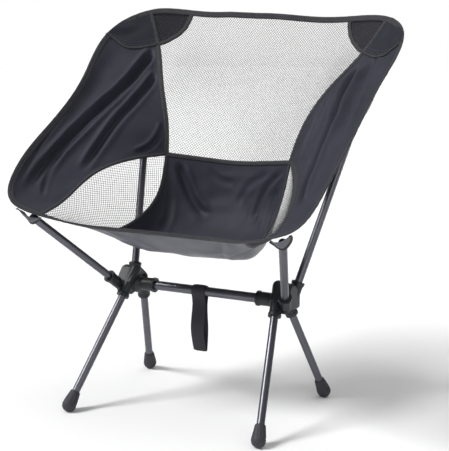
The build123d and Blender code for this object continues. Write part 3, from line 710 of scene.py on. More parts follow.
def make_finishes(colours):
    """Every finish of the chair, by its name in this file."""
    def shades(part):
        return getattr(colours, f"{part}_dark"), getattr(colours, f"{part}_light")

    # coated plain-woven nylon, face side: near-black navy with a low sheen. Its 0.25 mm threads
    # are drawn at 1 mm, because they are too fine to show.
    FINISHES["cloth"] = woven_finish(
        "Plain-woven nylon, face", *shades("cloth"), 0.6, pitch=1.0, depth=0.10, sheen=0.05,
        crinkle=0.5, specular=0.22)
    # the same nylon, double at the corners, given darker and duller shades than the face
    FINISHES["patch"] = woven_finish(
        "Plain-woven nylon, double", *shades("patch"), 0.66, pitch=1.0, depth=0.10, sheen=0.03,
        crinkle=0.6, specular=0.18)
    # the same cloth's coated back: a lighter, smoother grey film with the weave showing through
    FINISHES["cloth_back"] = woven_finish(
        "Plain-woven nylon, coated back", *shades("coating"), 0.38, pitch=1.0, depth=0.06, sheen=0.0,
        crinkle=0.5)
    # knitted polyester net: matt black threads that catch a little light on their twist
    FINISHES["net"] = speckled_finish(
        "Knitted polyester net", *shades("net"), 0.6, grain=1.2, depth=0.08, Sheen_Weight=0.1)
    # folded grosgrain binding: neutral charcoal, fine ribs across, a little lighter on their crowns
    FINISHES["binding"] = tape_finish("Grosgrain binding", *shades("tape"), 0.65, rib=1.3, depth=0.16)
    # heavy woven webbing of the storage strap: coarser ribs and a greyer yarn
    FINISHES["webbing"] = tape_finish(
        "Woven nylon webbing", *shades("webbing"), 0.6, rib=2.0, depth=0.3)
    # bonded polyester sewing thread: a shade lighter than the cloth, with a dull shine
    FINISHES["thread"] = speckled_finish(
        "Bonded sewing thread", colours.thread, colours.thread, 0.5, grain=0.6, depth=0.05,
        Sheen_Weight=0.2)
    # anodised drawn aluminium tube: dark grey metal with a soft broad highlight
    FINISHES["tube"] = speckled_finish(
        "Anodised aluminium", *shades("tube"), 0.34, grain=0.9, depth=0.012, metallic=1.0)
    # glass-filled nylon, moulded with a fine spark texture: near black, satin
    FINISHES["hub"] = speckled_finish(
        "Glass-filled nylon, moulded", *shades("hub"), 0.46, grain=0.8, depth=0.05)
    # moulded rubber: soft dark grey, matt, with a dusty bloom
    FINISHES["foot"] = speckled_finish("Moulded rubber", *shades("foot"), 0.62, grain=0.7, depth=0.06)
    # stainless steel rivets and ferrules: bright turned metal
    FINISHES["steel"] = speckled_finish(
        "Turned stainless steel", "#8f9196", "#b4b6ba", 0.3, grain=0.5, depth=0.01, metallic=1.0)
    # braided sheath of the elastic cord: black with a lighter crossed fleck
    FINISHES["cord"] = speckled_finish(
        "Braided elastic cord", "#141416", "#56565c", 0.6, grain=1.6, depth=0.25)


CAD_FINISHES = {
    "crossbar": "tube", "leg": "tube", "upright": "tube", "upright_back_ferrule": "steel",
    "hub": "hub", "hub_rivet": "steel", "foot": "foot", "tip_cap": "hub", "cord_stop": "hub",
    "shock_cord": "cord",
}


# ---------------------------------------------------------------- what a user may change
def colour_value(label, default):
    """A colour that a user may change, as sRGB hex."""
    return bpy.props.StringProperty(name=label, description=f"{label}, as sRGB hex", default=default)


class ChairColours(bpy.types.PropertyGroup):
    """Colours of the chair's finishes."""

    cloth_dark: colour_value("Cloth, darker shade", "#262632")
    cloth_light: colour_value("Cloth, lighter shade", "#33333f")
    coating_dark: colour_value("Cloth's back, darker shade", "#4a4b54")
    coating_light: colour_value("Cloth's back, lighter shade", "#5a5b64")
    patch_dark: colour_value("Patches, darker shade", "#1d1d27")
    patch_light: colour_value("Patches, lighter shade", "#292933")
    net_dark: colour_value("Net, darker shade", "#222226")
    net_light: colour_value("Net, lighter shade", "#35353b")
    tape_dark: colour_value("Binding, darker shade", "#252528")
    tape_light: colour_value("Binding, lighter shade", "#3a3a3e")
    webbing_dark: colour_value("Webbing, darker shade", "#232327")
    webbing_light: colour_value("Webbing, lighter shade", "#323238")
    thread: colour_value("Sewing thread", "#3a3b42")
    tube_dark: colour_value("Tubes, darker shade", "#5c5c63")
    tube_light: colour_value("Tubes, lighter shade", "#6e6e76")
    hub_dark: colour_value("Hubs, darker shade", "#14171b")
    hub_light: colour_value("Hubs, lighter shade", "#1e2126")
    foot_dark: colour_value("Feet, darker shade", "#2a2a30")
    foot_light: colour_value("Feet, lighter shade", "#37373d")


def size_value(label, description, default, low, high):
    """A length that a user may change, in metres."""
    return bpy.props.FloatProperty(
        name=label, description=description, default=default, min=low, max=high, unit="LENGTH",
        precision=4)


class ChairSizes(bpy.types.PropertyGroup):
    """Sizes of the sling's sewn details."""

    cloth: size_value("Cloth", "Thickness of the coated cloth", 0.0007, 0.0003, 0.0016)
    hem_width: size_value("Hem width", "Width of the folded hem", 0.011, 0.006, 0.014)
    hem_thickness: size_value("Hem thickness", "Thickness of the folded hem", 0.0026, 0.0015, 0.004)
    tape_width: size_value("Tape width", "Width of the tape over a seam", 0.0085, 0.005, 0.012)
    net_cell: size_value("Net cell", "Width of one opening in the net", 0.0048, 0.003, 0.012)
    net_thread: size_value("Net thread", "Thickness of the net's threads", 0.0008, 0.0003, 0.0015)
    stitch_pitch: size_value(
        "Stitch pitch", "Distance from one stitch to the next", 0.0036, 0.002, 0.008)
    strap_width: size_value("Strap width", "Width of the storage strap", 0.025, 0.015, 0.03)
    strap_bow: size_value("Strap bow", "How far the strap's front layer bows out", 0.011, 0.0, 0.02)


# ---------------------------------------------------------------- hem and tapes
HEM_LIFT = 0.0009  # the hem's middle above the seams' surface
HEM_OVERHANG = 0.0006  # past the cloth's own edge
HEM_STITCHES = (0.0022, 0.0066)  # the two rows, in from the edge
HEM_SEED, HEM_PUCKER, HEM_SWELL = 4, 0.00022, 0.1


def hem_frames(count):
    """Places round the whole hem, with the directions into the cloth and to the sitter."""
    shares = np.linspace(0, 1, count)
    inward = np.empty((count, 3))
    stretches = [
        (0, TOP, NET, "high", lambda s: 0.5 + 0.5 * s / TOP),
        (TOP, SIDE, WING, "high", lambda s: (s - TOP) / (SIDE - TOP)),
        (SIDE, CORNER, WING, "far", lambda s: (CORNER - s) / (CORNER - SIDE)),
        (CORNER, QUARTER, SIDE_NET, "high", lambda s: (QUARTER - s) / (QUARTER - CORNER)),
        (QUARTER, 1.001, SEAT, "high", lambda s: 0.5 + 0.5 * (1 - s) / (1 - QUARTER)),
    ]
    for start, end, panel, edge, share in stretches:
        here = (shares >= start) & (shares < end)
        inward[here] = panel.inward(edge, np.clip(share(shares[here]), 0, 1), 0.03)
    middle = HEM_LINE.at(shares)
    middle = np.concatenate([middle, middle[-2:0:-1] * MIRROR])
    inward = np.concatenate([inward, inward[-2:0:-1] * MIRROR])
    inward = unit(rolling(inward, 13))
    runs = unit(np.roll(middle, -1, axis=0) - np.roll(middle, 1, axis=0))
    inward = square_to(inward, runs)
    return middle, inward, np.cross(inward, runs)


def rolling(values, reach):
    """The mean of each value and its neighbours round a loop."""
    return np.mean([np.roll(values, k, axis=0) for k in range(-reach, reach + 1)], axis=0)


def flat_ring(width, thickness, corners=16):
    """The outline of a folded tape's section: flat faces and round edges."""
    angles = np.linspace(0, 2 * math.pi, corners, endpoint=False) + math.pi / corners
    across = np.sign(np.cos(angles)) * np.abs(np.cos(angles)) ** 0.4 * width / 2
    up = np.sign(np.sin(angles)) * np.abs(np.sin(angles)) ** 0.65 * thickness / 2
    return across, up


def wire_piece(name, ways):
    """Loose edges along one or more ways, as a base for stitches."""
    points, edges = [], []
    for way in ways:
        start = len(points)
        points.extend(tuple(p) for p in way)
        edges.extend((k, k + 1) for k in range(start, len(points) - 1))
    mesh = bpy.data.meshes.new(name)
    mesh.from_pydata(points, edges, [])
    return add_object(name, mesh)


STITCH_LINES = {"patches": [], "hem": [], "tapes": []}
# a tape's section: how far each point is from the seam towards an edge, and how high it stands
TAPE_REACH = (1.0, 0.55, 0.0, 0.55, 1.0)
TAPE_RISE = (1.2e-3, 1.9e-3, 2.1e-3, 1.9e-3, 1.2e-3)
TAPE_BACK = -1e-4
RIPPLE_HEIGHT, RIPPLE_PITCH = 0.00025, 0.011
THREAD_RISE = 1e-4  # stitches stand this far off what they hold


def seam_tape(name, node, seam, first, second, facing, end, scale=1.0, second_share=1.0):
    """A tape over a seam, bent to the panels on its two sides. Its stitches are noted."""
    sizes = bpy.context.scene.chair_sizes
    shares = np.linspace(0, end, max(12, int(seam.length * end / 0.004)))
    middle = seam.at(shares)
    runs = unit(np.gradient(middle, axis=0))
    one, two = (square_to(panel.inward(edge, shares), runs) for panel, edge in (first, second))
    up = unit(np.cross(runs, unit(one - two)))
    up *= np.sign(up @ np.asarray(facing, float))[:, None]
    half = sizes.tape_width / 2
    ripple = RIPPLE_HEIGHT * np.sin(shares * seam.length / RIPPLE_PITCH * 2 * math.pi)
    ripple = ripple * np.sin(shares * 40)
    sides = [(one, half)] * 3 + [(two, half * second_share)] * 2
    arms = [way * reach * share for (way, reach), share in zip(sides, TAPE_REACH)]
    top = [middle + arm + up * (rise + ripple)[:, None] for arm, rise in zip(arms, TAPE_RISE)]
    low = [middle + arm * 0.97 + up * TAPE_BACK for arm in arms[::-1]]
    rows = np.stack(top + low, axis=1)
    piece = grid_piece(name, rows * scale, [FINISHES["binding"]], around=True, caps=BOTH_ENDS)
    for column in (1, 3):
        STITCH_LINES["tapes"].append((rows[2:-2, column] + up[2:-2] * THREAD_RISE) * scale)
    settle(piece, "seat", "binding", node)


class CHAIR_OT_hem(bpy.types.Operator):
    """Folds one hem right round the sling"""

    bl_idname = "chair.hem"
    bl_label = "Hem"

    def execute(self, context):
        sizes = context.scene.chair_sizes
        middle, inward, up = hem_frames(560)
        across, rise = flat_ring(sizes.hem_width, sizes.hem_thickness)
        draw = np.random.default_rng(HEM_SEED)
        pucker = rolling(draw.normal(size=(len(middle), 1)), 1)[:, 0] * HEM_PUCKER
        swell = 1 + HEM_SWELL * rolling(draw.normal(size=(len(middle), 1)), 2)[:, 0]
        offset = across + sizes.hem_width / 2 - HEM_OVERHANG
        rows = middle[:, None] + inward[:, None] * offset[None, :, None]
        height = rise[None, :] * swell[:, None] + HEM_LIFT + pucker[:, None]
        rows = rows + up[:, None] * height[..., None]
        hem = grid_piece("hem", rows, [FINISHES["binding"]], around=True, closed=True)
        settle(hem, "seat", "binding", "hem_front", "hem_top", "hem_side_left", "hem_side_right")
        for depth in HEM_STITCHES:
            for side in (1, -1):
                lift = HEM_LIFT + side * (sizes.hem_thickness / 2 + THREAD_RISE / 2)
                way = middle + inward * depth + up * (lift + pucker)[:, None]
                STITCH_LINES["hem"].append(np.concatenate([way, way[:1]]))
        return {"FINISHED"}


class CHAIR_OT_tapes(bpy.types.Operator):
    """Lays a tape over each seam between two panels"""

    bl_idname = "chair.tapes"
    bl_label = "Seam tapes"

    def execute(self, context):
        for side, scale in SIDES:
            seam_tape(
                f"tape_back_seam_{side}", f"tape_back_{side}", BACK_SEAM, (NET, "far"),
                (WING, "near"), (-0.4, -0.8, 0.5), 0.985, scale)
            seam_tape(
                f"tape_wing_seam_{side}", f"tape_wing_{side}", WING_SEAM, (WING, "low"),
                (SIDE_NET, "far"), (-0.6, -0.3, 0.7), 0.97, scale, second_share=0.5)
            seam_tape(
                f"tape_seat_seam_{side}", f"tape_seat_side_{side}", SEAT_SEAM, (SEAT, "far"),
                (SIDE_NET, "near"), (-0.5, -0.2, 0.8), 0.97, scale, second_share=0.5)
        seam_tape(
            "tape_low_back_seam", "tape_seat_back", LOW_SEAM, (SEAT, "low"), (NET, "low"),
            (0, -0.7, 0.7), 1.0)
        return {"FINISHED"}


# ---------------------------------------------------------------- panels
CLOTH_LIFT = 0.0008  # the cloth's face above the seams' surface
DOUBLE_CLOTH = 0.0009  # patches and pockets
SEAT_CRUMPLE, WING_CRUMPLE = 0.0006, 0.0008
SEAT_SEED, WING_SEEDS, POCKET_SEEDS = 11, (21, 22), (31, 32)


def panel_grid(columns, rows):
    """Even shares across and along a panel."""
    return np.meshgrid(np.linspace(0, 1, columns), np.linspace(0, 1, rows))


class CHAIR_OT_seat(bpy.types.Operator):
    """Cuts and sags the seat panel"""

    bl_idname = "chair.seat"
    bl_label = "Seat"

    def execute(self, context):
        across, along = panel_grid(110, 116)
        points = cloth_points(
            SEAT, across, along, SEAT_FOLDS, SEAT_CRUMPLE, SEAT_SEED, CLOTH_LIFT)
        cloths = [FINISHES["cloth"], FINISHES["cloth_back"]]
        seat = grid_piece("seat_cloth", points, cloths, SEAT.facing)
        thicken(seat, context.scene.chair_sizes.cloth)
        settle(seat, "seat", "cloth", "seat_panel")
        return {"FINISHED"}


class CHAIR_OT_wings(bpy.types.Operator):
    """Cuts the two wings and pulls their folds from the corners"""

    bl_idname = "chair.wings"
    bl_label = "Wings"

    def execute(self, context):
        across, along = panel_grid(104, 140)
        cloths = [FINISHES["cloth"], FINISHES["cloth_back"]]
        for (side, scale), seed in zip(SIDES, WING_SEEDS):
            points = cloth_points(
                WING, across, along, WING_FOLDS[side], WING_CRUMPLE, seed, CLOTH_LIFT)
            wing = grid_piece(f"wing_cloth_{side}", points * scale, cloths, WING.facing * scale)
            thicken(wing, context.scene.chair_sizes.cloth)
            settle(wing, "seat", "cloth", f"wing_panel_{side}")
        return {"FINISHED"}


NET_LIFT = 0.0006  # the threads above the seams' surface
CELL_SHAPE = 1.1  # a cell's height to its width
NET_REACH = 1.02  # the net is laid out this much past the panel
RAY_START = 0.2  # threads drop onto the panel from this far off


def knit(name, node, panel, tree, mirrored=False):
    """Knits a net over a panel and keeps it as one mesh of threads."""
    sizes = bpy.context.scene.chair_sizes
    across, along = panel_grid(60, 60)
    points = panel.at(across, along) + panel.normal(across, along) * NET_LIFT
    middle = points.reshape(-1, 3).mean(axis=0)
    normal = unit(panel.normal(across, along).reshape(-1, 3).mean(axis=0))
    level = unit(panel.at(1, 0.7) - panel.at(0, 0.7))
    level = unit(level - normal * (level @ normal))
    upward = np.cross(normal, level)
    spots = (points.reshape(-1, 3) - middle) @ np.stack([level, upward], 1)
    reach = np.abs(spots).max(axis=0) * 2 * NET_REACH
    net = grid_piece(name, points, [], panel.facing)
    threads = int(reach[0] / (sizes.net_cell / 2)) + 2
    turns = int(reach[1] / (sizes.net_cell * CELL_SHAPE / 2)) + 2
    run_tree(net, tree, {
        "Cell Width": sizes.net_cell, "Cell Height": sizes.net_cell * CELL_SHAPE, "Threads": threads,
        "Turns": turns, "Thread Radius": sizes.net_thread / 2, "Middle": tuple(middle),
        "Across": tuple(level), "Along": tuple(upward), "Off": tuple(normal * RAY_START),
        "Finish": FINISHES["net"],
    })
    if mirrored:
        net.data.transform(Matrix.Diagonal((*MIRROR, 1)))
        net.data.flip_normals()
    settle(net, "seat", "net", node)


class CHAIR_OT_nets(bpy.types.Operator):
    """Knits the net of the back and the two net triangles beside the seat"""

    bl_idname = "chair.nets"
    bl_label = "Nets"

    def execute(self, context):
        tree = net_tree()
        knit("net_back", "back_net", NET, tree)
        for side, scale in SIDES:
            knit(f"net_side_{side}", f"side_net_{side}", SIDE_NET,
                 tree, mirrored=scale is MIRROR)
        return {"FINISHED"}


# ---------------------------------------------------------------- corners
# the patch's lower edge over the wing, and its inner edge over the net: share across, along
PATCH_WING_EDGE = np.array([
    (0, 0.755), (0.16, 0.757), (0.31, 0.775), (0.42, 0.80), (0.52, 0.84), (0.66, 0.885),
    (0.84, 0.925), (1, 0.95),
])
PATCH_NET_EDGE = np.array([
    (0, 0.755), (0.045, 0.775), (0.09, 0.815), (0.13, 0.87), (0.155, 0.93), (0.175, 1.0),
])
PATCH_END = 0.995  # it runs up to here, under the hem
PATCH_WING_LIFT, PATCH_NET_LIFT = 0.0019, 0.0014
PATCH_PUFF = 0.0022


def patch_wing_points(side, seed, shares, rows):
    """Points of a corner patch where it lies on the wing, from its lower edge to the hem."""
    edge = np.interp(shares, *PATCH_WING_EDGE.T)
    edge = np.convolve(np.pad(edge, 4, mode="edge"), np.ones(9) / 9, mode="valid")
    up = np.linspace(0, 1, rows)[:, None]
    along = edge * (1 - up) + PATCH_END * up
    across = np.broadcast_to(shares, along.shape)
    points = cloth_points(WING, across, along, WING_FOLDS[side], WING_CRUMPLE, seed, 0.0)
    puff = 0.5 + 0.5 * crumple(points, 0.035, seed + 5)
    middle = np.sin(up * math.pi) * np.sin(shares * math.pi)
    height = PATCH_WING_LIFT + PATCH_PUFF * puff * middle
    return points + WING.normal(across, along) * height[..., None]


def patch_net_points(shares, columns):
    """Points of a corner patch where it lies behind the net, from its edge to the seam."""
    reach, rise = PATCH_NET_EDGE.T
    along = (rise[0] + (PATCH_END - rise[0]) * shares)[:, None]
    width = np.interp(along, rise, reach)
    across = 1 - width * (1 - np.linspace(0, 1, columns))
    along = np.broadcast_to(along, across.shape)
    return NET.at(across, along) - NET.normal(across, along) * PATCH_NET_LIFT


def bound_edge(name, way, up, width, thickness, scale):
    """A folded tape along an edge of cloth."""
    across, rise = flat_ring(width, thickness, 10)
    runs = unit(np.gradient(way, axis=0))
    side = unit(np.cross(runs, up))
    rows = way[:, None] + side[:, None] * across[None, :, None] + up[:, None] * rise[None, :, None]
    piece = grid_piece(name, rows * scale, [FINISHES["binding"]], around=True, caps=BOTH_ENDS)
    settle(piece, "seat", "binding")


class CHAIR_OT_patches(bpy.types.Operator):
    """Sews a bound patch into each top corner"""

    bl_idname = "chair.patches"
    bl_label = "Corner patches"

    def execute(self, context):
        shares = np.linspace(0, 1, 64)
        cloths = [FINISHES["patch"], FINISHES["cloth_back"]]
        for (side, scale), seed in zip(SIDES, WING_SEEDS):
            on_wing = patch_wing_points(side, seed, shares, 40)
            on_net = patch_net_points(np.linspace(0, 1, 40), 26)
            patch = grid_piece(f"patch_wing_{side}", on_wing * scale, cloths, WING.facing * scale)
            thicken(patch, DOUBLE_CLOTH)
            settle(patch, "seat", "patch", f"corner_patch_{side}")
            behind = grid_piece(f"patch_net_{side}", on_net * scale, cloths, NET.facing * scale)
            thicken(behind, DOUBLE_CLOTH)
            settle(behind, "seat", "patch")
            normal = WING.normal(shares, np.full(64, 0.85))
            bound_edge(f"patch_edge_wing_{side}", on_wing[0], normal, width=0.0045,
                       thickness=0.0022, scale=scale)
            net_normal = NET.normal(np.full(40, 0.9), np.full(40, 0.85))
            bound_edge(f"patch_edge_net_{side}", on_net[:, 0] + net_normal * 0.0019, net_normal,
                       width=0.0075, thickness=0.0026, scale=scale)
            lines = STITCH_LINES["patches"]
            lines.extend((on_wing[row] + normal * THREAD_RISE) * scale for row in (3, 6))
            lines.extend(
                (on_net[2:-1, column] + net_normal[2:-1] * 0.0022) * scale for column in (2, 5))
        return {"FINISHED"}


# the hood over a back tip: its radii round the tip cap and at its mouth, and how far along it
# the closing past the tip starts
CAP_ROOM_WIDE, CAP_ROOM_DEEP = 0.0108, 0.0102
MOUTH_WIDE, MOUTH_DEEP = 0.0135, 0.0115
HOOD_CLOSES = 0.62
HOOD_BEFORE, HOOD_PAST = 0.030, 0.016  # how far it reaches before and past the tip
MOUTH_DIP = -0.003


def hood_points(root, tip, side_way):
    """A soft hood over an upright's tip: wide and flattened at its mouth, closed past the tip."""
    run = unit(tip - root)
    first = unit(side_way - run * (side_way @ run))
    second = np.cross(run, first)
    angles = np.linspace(0, 2 * math.pi, 48, endpoint=False)
    rows = []
    for t in np.linspace(0, 1, 30):
        close = math.sqrt(max(0.0, 1 - max(0.0, (t - HOOD_CLOSES) / (1 - HOOD_CLOSES)) ** 2))
        ease = (1 - min(t / HOOD_CLOSES, 1)) ** 1.4
        radius_wide = (CAP_ROOM_WIDE + (MOUTH_WIDE - CAP_ROOM_WIDE) * ease) * close
        radius_deep = (CAP_ROOM_DEEP + (MOUTH_DEEP - CAP_ROOM_DEEP) * ease) * close
        pleat = 1 + 0.05 * ease * np.sin(angles * 7 + 1.3) + 0.02 * np.sin(angles * 3)
        reach = -HOOD_BEFORE * (1 - t) + HOOD_PAST * t
        dip = MOUTH_DIP * (1 - t) ** 2 * np.sin(angles)
        rows.append(
            tip + run * (reach + dip)[:, None]
            + first * (np.cos(angles) * radius_wide * pleat)[:, None]
            + second * (np.sin(angles) * radius_deep * pleat)[:, None]
        )
    return np.array(rows), run


# the toe cap under a front tip: the stretch of hem it is sewn to, how far its rim keeps from the
# tip's middle at the sides and below, and how far it bellies out
CAP_FIRST, CAP_LAST = 0.753, 0.793
RIM_BESIDE, RIM_UNDER = 0.0105, 0.0088
CAP_BELLY = 0.0055


def toe_cap_points(root, tip, seed):
    """A pocket of cloth slung under the hem's corner, round the outer side of an upright's tip.
    Its top edge sags a little from the hem, and its lower edge is a U round the tip."""
    run = unit(tip - root)
    level = unit(np.cross(run, (0, 0, 1.0)))
    under = unit(np.cross(run, level))
    under *= np.sign(-under[2])
    centre = tip + run * 0.001
    first, last = HEM_LINE.at((CAP_FIRST, CAP_LAST))

    def beside(end):
        """Where the rim passes the tip on the side of one of its ends."""
        side = level * math.copysign(RIM_BESIDE, (end - centre) @ level)
        return end * 0.35 + (centre + side) * 0.65 - (0, 0, 0.0025)

    rim = smooth([
        first - (0, 0, 0.003), beside(first), centre + under * RIM_UNDER, beside(last),
        last - (0, 0, 0.003),
    ]).at(np.linspace(0, 1, 40))
    out = unit(run * (1, 1, 0))
    spread = np.linspace(-1, 1, 40)[:, None]
    top = HEM_LINE.at(np.linspace(CAP_FIRST, CAP_LAST, 40))
    top = top - (0, 0, 1) * (0.002 + 0.005 * (1 - spread**2)) - out * 0.002
    down = np.linspace(0, 1, 18)[:, None, None]
    belly = np.sin(down * math.pi) * (1 - spread**2)
    rows = top * (1 - down) + rim * down + out * CAP_BELLY * belly
    return rows + out * (0.0007 * belly[..., 0] * crumple(rows, 0.012, seed))[..., None], rim, out


class CHAIR_OT_pockets(bpy.types.Operator):
    """Sews the four pockets that sit over the tips of the uprights"""

    bl_idname = "chair.pockets"
    bl_label = "Corner pockets"

    def execute(self, context):
        cloths = [FINISHES["cloth_back"], FINISHES["cloth"]]
        for (side, scale), seed in zip(SIDES, POCKET_SEEDS):
            rows, rim, out = toe_cap_points(*UPRIGHTS["front"], seed)
            cap = grid_piece(f"pocket_cloth_front_{side}", rows * scale, cloths, out * scale)
            thicken(cap, DOUBLE_CLOTH)
            settle(cap, "seat", "cloth", f"pocket_front_{side}")
            ways = np.broadcast_to(unit(out + np.array((0, 0, -0.5))), rim.shape)
            bound_edge(f"pocket_edge_front_{side}", rim + out * 0.0004, ways, width=0.005,
                       thickness=0.0024, scale=scale)
            rows, run = hood_points(*UPRIGHTS["back"], np.array((1.0, -0.4, 0.0)))
            hood = grid_piece(
                f"pocket_cloth_back_{side}", rows * scale, cloths, around=True, caps=(-1,))
            thicken(hood, DOUBLE_CLOTH)
            settle(hood, "seat", "cloth", f"pocket_back_{side}")
            mouth = rows[0]
            spread = unit(mouth - mouth.mean(axis=0))
            across, rise = flat_ring(0.0055, 0.0024, 10)
            ring = mouth[:, None] + run * (across + 0.0018)[None, :, None]
            ring = ring + spread[:, None] * rise[None, :, None]
            edge = grid_piece(
                f"pocket_edge_back_{side}", ring * scale, [FINISHES["binding"]], around=True,
                closed=True)
            settle(edge, "seat", "binding")
        return {"FINISHED"}


# ---------------------------------------------------------------- strap
WEBBING = 0.0016  # the webbing's thickness
STRAP_GAP = 0.0012  # its middle off the bar, and off its box's floor
STRAP_CUP = 0.0009  # how far its middle bulges past its edges
FOLD_RADIUS, FOLD_HEIGHT = 0.0021, 0.003  # the turn at the bottom, and its middle's height
UNDER_BAR = 0.020  # where the layers come together below the bar


class CHAIR_OT_strap(bpy.types.Operator):
    """Hangs the storage strap double from the crossbar"""

    bl_idname = "chair.strap"
    bl_label = "Storage strap"

    def execute(self, context):
        sizes = context.scene.chair_sizes
        low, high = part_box("storage_strap")
        bottom = low[2] + STRAP_GAP
        middle_x = (low[0] + high[0]) / 2
        wrap = BAR_RADIUS + STRAP_GAP
        angles = np.radians(np.linspace(-32, 212, 26))
        over = np.stack([-np.cos(angles) * wrap + BAR_Y, np.sin(angles) * wrap + BAR_Z], -1)
        belly, neck, foot = BAR_Z - (BAR_Z - bottom) * 0.55, BAR_Z - UNDER_BAR, bottom + 0.004
        rear = smooth([
            (over[-1, 0], over[-1, 1], 0), (BAR_Y + 0.0036, neck, 0), (BAR_Y + 0.0050, belly, 0),
            (BAR_Y + 0.0022, foot, 0),
        ]).at(np.linspace(0.02, 1, 34))[:, :2]
        front = smooth([
            (BAR_Y - 0.0022, foot, 0), (BAR_Y - sizes.strap_bow, belly, 0),
            (BAR_Y - 0.0052, neck, 0), (over[0, 0], over[0, 1], 0),
        ]).at(np.linspace(0, 0.98, 34))[:, :2]
        turn = np.radians(np.linspace(20, -200, 9))
        fold = np.stack([np.cos(turn), np.sin(turn)], -1) * FOLD_RADIUS
        fold = fold + (BAR_Y, bottom + FOLD_HEIGHT)
        way = np.concatenate([over, rear, fold, front])
        runs = unit(np.roll(way, -1, axis=0) - np.roll(way, 1, axis=0))
        out = np.stack([-runs[:, 1], runs[:, 0]], -1)
        across, rise = flat_ring(sizes.strap_width, WEBBING, 20)
        rows = np.empty((len(way), len(across), 3))
        cup = STRAP_CUP * (1 - (2 * across / sizes.strap_width) ** 2)
        rows[..., 0] = middle_x + across
        rows[..., 1] = way[:, None, 0] + out[:, None, 0] * (rise + cup)
        rows[..., 2] = way[:, None, 1] + out[:, None, 1] * (rise + cup)
        strap = grid_piece("strap_webbing", rows, [FINISHES["webbing"]], around=True, closed=True)
        settle(strap, "strap", "webbing", "storage_strap")
        return {"FINISHED"}


STITCH_SHARE = 0.72  # of the pitch, and the rest is the gap
STITCH_WIDTH = 0.00075


class CHAIR_OT_stitches(bpy.types.Operator):
    """Sews the stitches along the hem, the tapes and the patches"""

    bl_idname = "chair.stitches"
    bl_label = "Stitches"

    def execute(self, context):
        sizes = context.scene.chair_sizes
        tree = stitch_tree()
        for group, ways in STITCH_LINES.items():
            stitches = wire_piece(f"stitches_{group}", ways)
            run_tree(stitches, tree, {
                "Pitch": sizes.stitch_pitch, "Finish": FINISHES["thread"],
                "Stitch": (sizes.stitch_pitch * STITCH_SHARE, STITCH_WIDTH, STITCH_WIDTH),
            })
            settle(stitches, "seat", "binding")
        return {"FINISHED"}


# ---------------------------------------------------------------- frame parts and stage
FLOOR_REACH, DOME_RADIUS = 12, 11
CAMERA_SPOT = (0.89584, BAR_Y - 1.67042, 0.66922)
CAMERA_AZIMUTH, CAMERA_ELEVATION = math.radians(27.237), math.radians(10.851)
# each lamp, where it shines from, the spread of its light in degrees, and its power
LAMPS = (
    ("key_light", (-1.9, -1.5, 2.6), 20, 2.7), ("fill_light", (2.4, -2.4, 1.2), 40, 0.5),
    ("top_light", (0.3, 0.8, 2.8), 60, 0.7),
)


class CHAIR_OT_frame(bpy.types.Operator):
    """Gives the tubes, hubs, feet and fittings their finishes"""

    bl_idname = "chair.frame_finishes"
    bl_label = "Frame finishes"

    def execute(self, context):
        for name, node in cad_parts.items():
            fits = [key for key in CAD_FINISHES if name.startswith(key)]
            if not fits:
                continue
            for slot in node.material_slots:
                slot.link = "OBJECT"
                slot.material = FINISHES[CAD_FINISHES[max(fits, key=len)]]
        return {"FINISHED"}


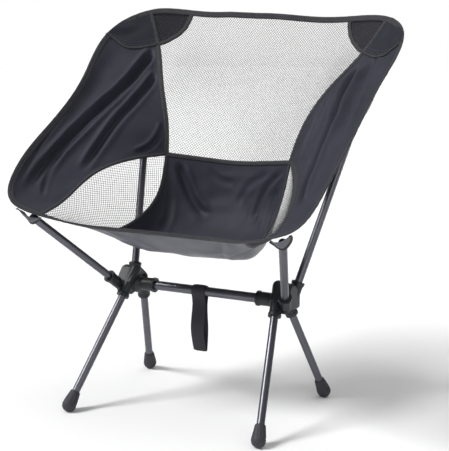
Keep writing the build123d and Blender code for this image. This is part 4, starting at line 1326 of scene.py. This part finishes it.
class CHAIR_OT_stage(bpy.types.Operator):
    """Sets the floor, the soft lights and the camera"""

    bl_idname = "chair.stage"
    bl_label = "Stage"

    def execute(self, context):
        scene = context.scene
        scene.view_settings.view_transform = "Standard"
        turns = ((-1, -1), (1, -1), (1, 1), (-1, 1))
        corners = [(x * FLOOR_REACH, y * FLOOR_REACH, 0) for x, y in turns]
        floor = mesh_piece("floor", corners, [(0, 1, 2, 3)], [])
        paper, add, shader = new_finish("Matt white paper", 0.9, Specular_IOR_Level=0.1)
        spot = add("ShaderNodeTexCoord")
        mottle(add, shader, spot.outputs["Object"], "#fafafa", "#fcfcfc", 400.0)
        floor.data.materials.append(paper)
        room = bpy.data.worlds.new("Studio air")
        room.use_nodes = True
        air = room.node_tree.nodes["Background"]
        air.inputs["Color"].default_value = (1, 1, 1, 1)
        air.inputs["Strength"].default_value = 0.24
        scene.world = room
        self.backdrop()
        for name, stands_at, spread, power in LAMPS:
            lamp = bpy.data.lights.new(name, "SUN")
            lamp.angle = math.radians(spread)
            lamp.energy = power
            piece = add_object(name, lamp)
            piece.location = stands_at
            piece.rotation_euler = Vector(stands_at).to_track_quat("Z", "Y").to_euler()
        level = math.cos(CAMERA_ELEVATION)
        back = Vector((
            math.sin(CAMERA_AZIMUTH) * level, -math.cos(CAMERA_AZIMUTH) * level,
            math.sin(CAMERA_ELEVATION),
        ))
        camera = bpy.data.cameras.new("camera")
        camera.sensor_fit = "HORIZONTAL"
        camera.sensor_width = 36.0
        camera.lens = 92.12
        eye = add_object("camera", camera)
        eye.location = CAMERA_SPOT
        eye.rotation_euler = back.to_track_quat("Z", "Y").to_euler()
        scene.camera = eye
        return {"FINISHED"}

    def backdrop(self):
        """A white dome all round, which shows behind the chair and lights nothing."""
        angles = np.linspace(0, 2 * math.pi, 64, endpoint=False)
        round_it = np.stack([np.cos(angles), np.sin(angles), np.ones(64)], -1)
        rows = [
            DOME_RADIUS * np.array((math.cos(t), math.cos(t), math.sin(t))) * round_it
            for t in np.linspace(-0.02, 1.45, 16)
        ]
        dome = grid_piece("backdrop", np.array(rows), [], around=True)
        glow = bpy.data.materials.new("Lit white backdrop")
        glow.use_nodes = True
        glow.node_tree.nodes.remove(glow.node_tree.nodes["Principled BSDF"])
        shine = add_node(
            glow.node_tree, "ShaderNodeEmission", {"Color": (1, 1, 1, 1), "Strength": 1.0})
        feed(glow.node_tree.nodes["Material Output"], {"Surface": shine})
        dome.data.materials.append(glow)
        dome.visible_diffuse = dome.visible_glossy = dome.visible_shadow = False


class CHAIR_PT_sidebar(bpy.types.Panel):
    """Sizes, colours and steps of the chair"""

    bl_idname = "CHAIR_PT_sidebar"
    bl_label = "Camp Chair"
    bl_space_type = "VIEW_3D"
    bl_region_type = "UI"
    bl_category = "Camp Chair"

    def draw(self, context):
        for group in (context.scene.chair_sizes, context.scene.chair_colours):
            box = self.layout.box()
            for name in group.__annotations__:
                box.prop(group, name)
        for step in STEPS:
            self.layout.operator(step.bl_idname)


STEPS = (
    CHAIR_OT_frame, CHAIR_OT_seat, CHAIR_OT_wings, CHAIR_OT_nets, CHAIR_OT_patches, CHAIR_OT_hem,
    CHAIR_OT_tapes, CHAIR_OT_pockets, CHAIR_OT_strap, CHAIR_OT_stitches, CHAIR_OT_stage,
)
CLASSES = (ChairColours, ChairSizes, *STEPS, CHAIR_PT_sidebar)


def register():
    """Makes the chair's settings and steps known to Blender."""
    for item in CLASSES:
        bpy.utils.register_class(item)
    bpy.types.Scene.chair_colours = bpy.props.PointerProperty(type=ChairColours)
    bpy.types.Scene.chair_sizes = bpy.props.PointerProperty(type=ChairSizes)


def unregister():
    """Takes them away again."""
    del bpy.types.Scene.chair_sizes
    del bpy.types.Scene.chair_colours
    for item in reversed(CLASSES):
        bpy.utils.unregister_class(item)


def main():
    """Builds the chair step by step."""
    register()
    make_finishes(bpy.context.scene.chair_colours)
    for step in STEPS:
        group, name = step.bl_idname.split(".")
        getattr(getattr(bpy.ops, group), name)()


if __name__ == "__main__":
    main()
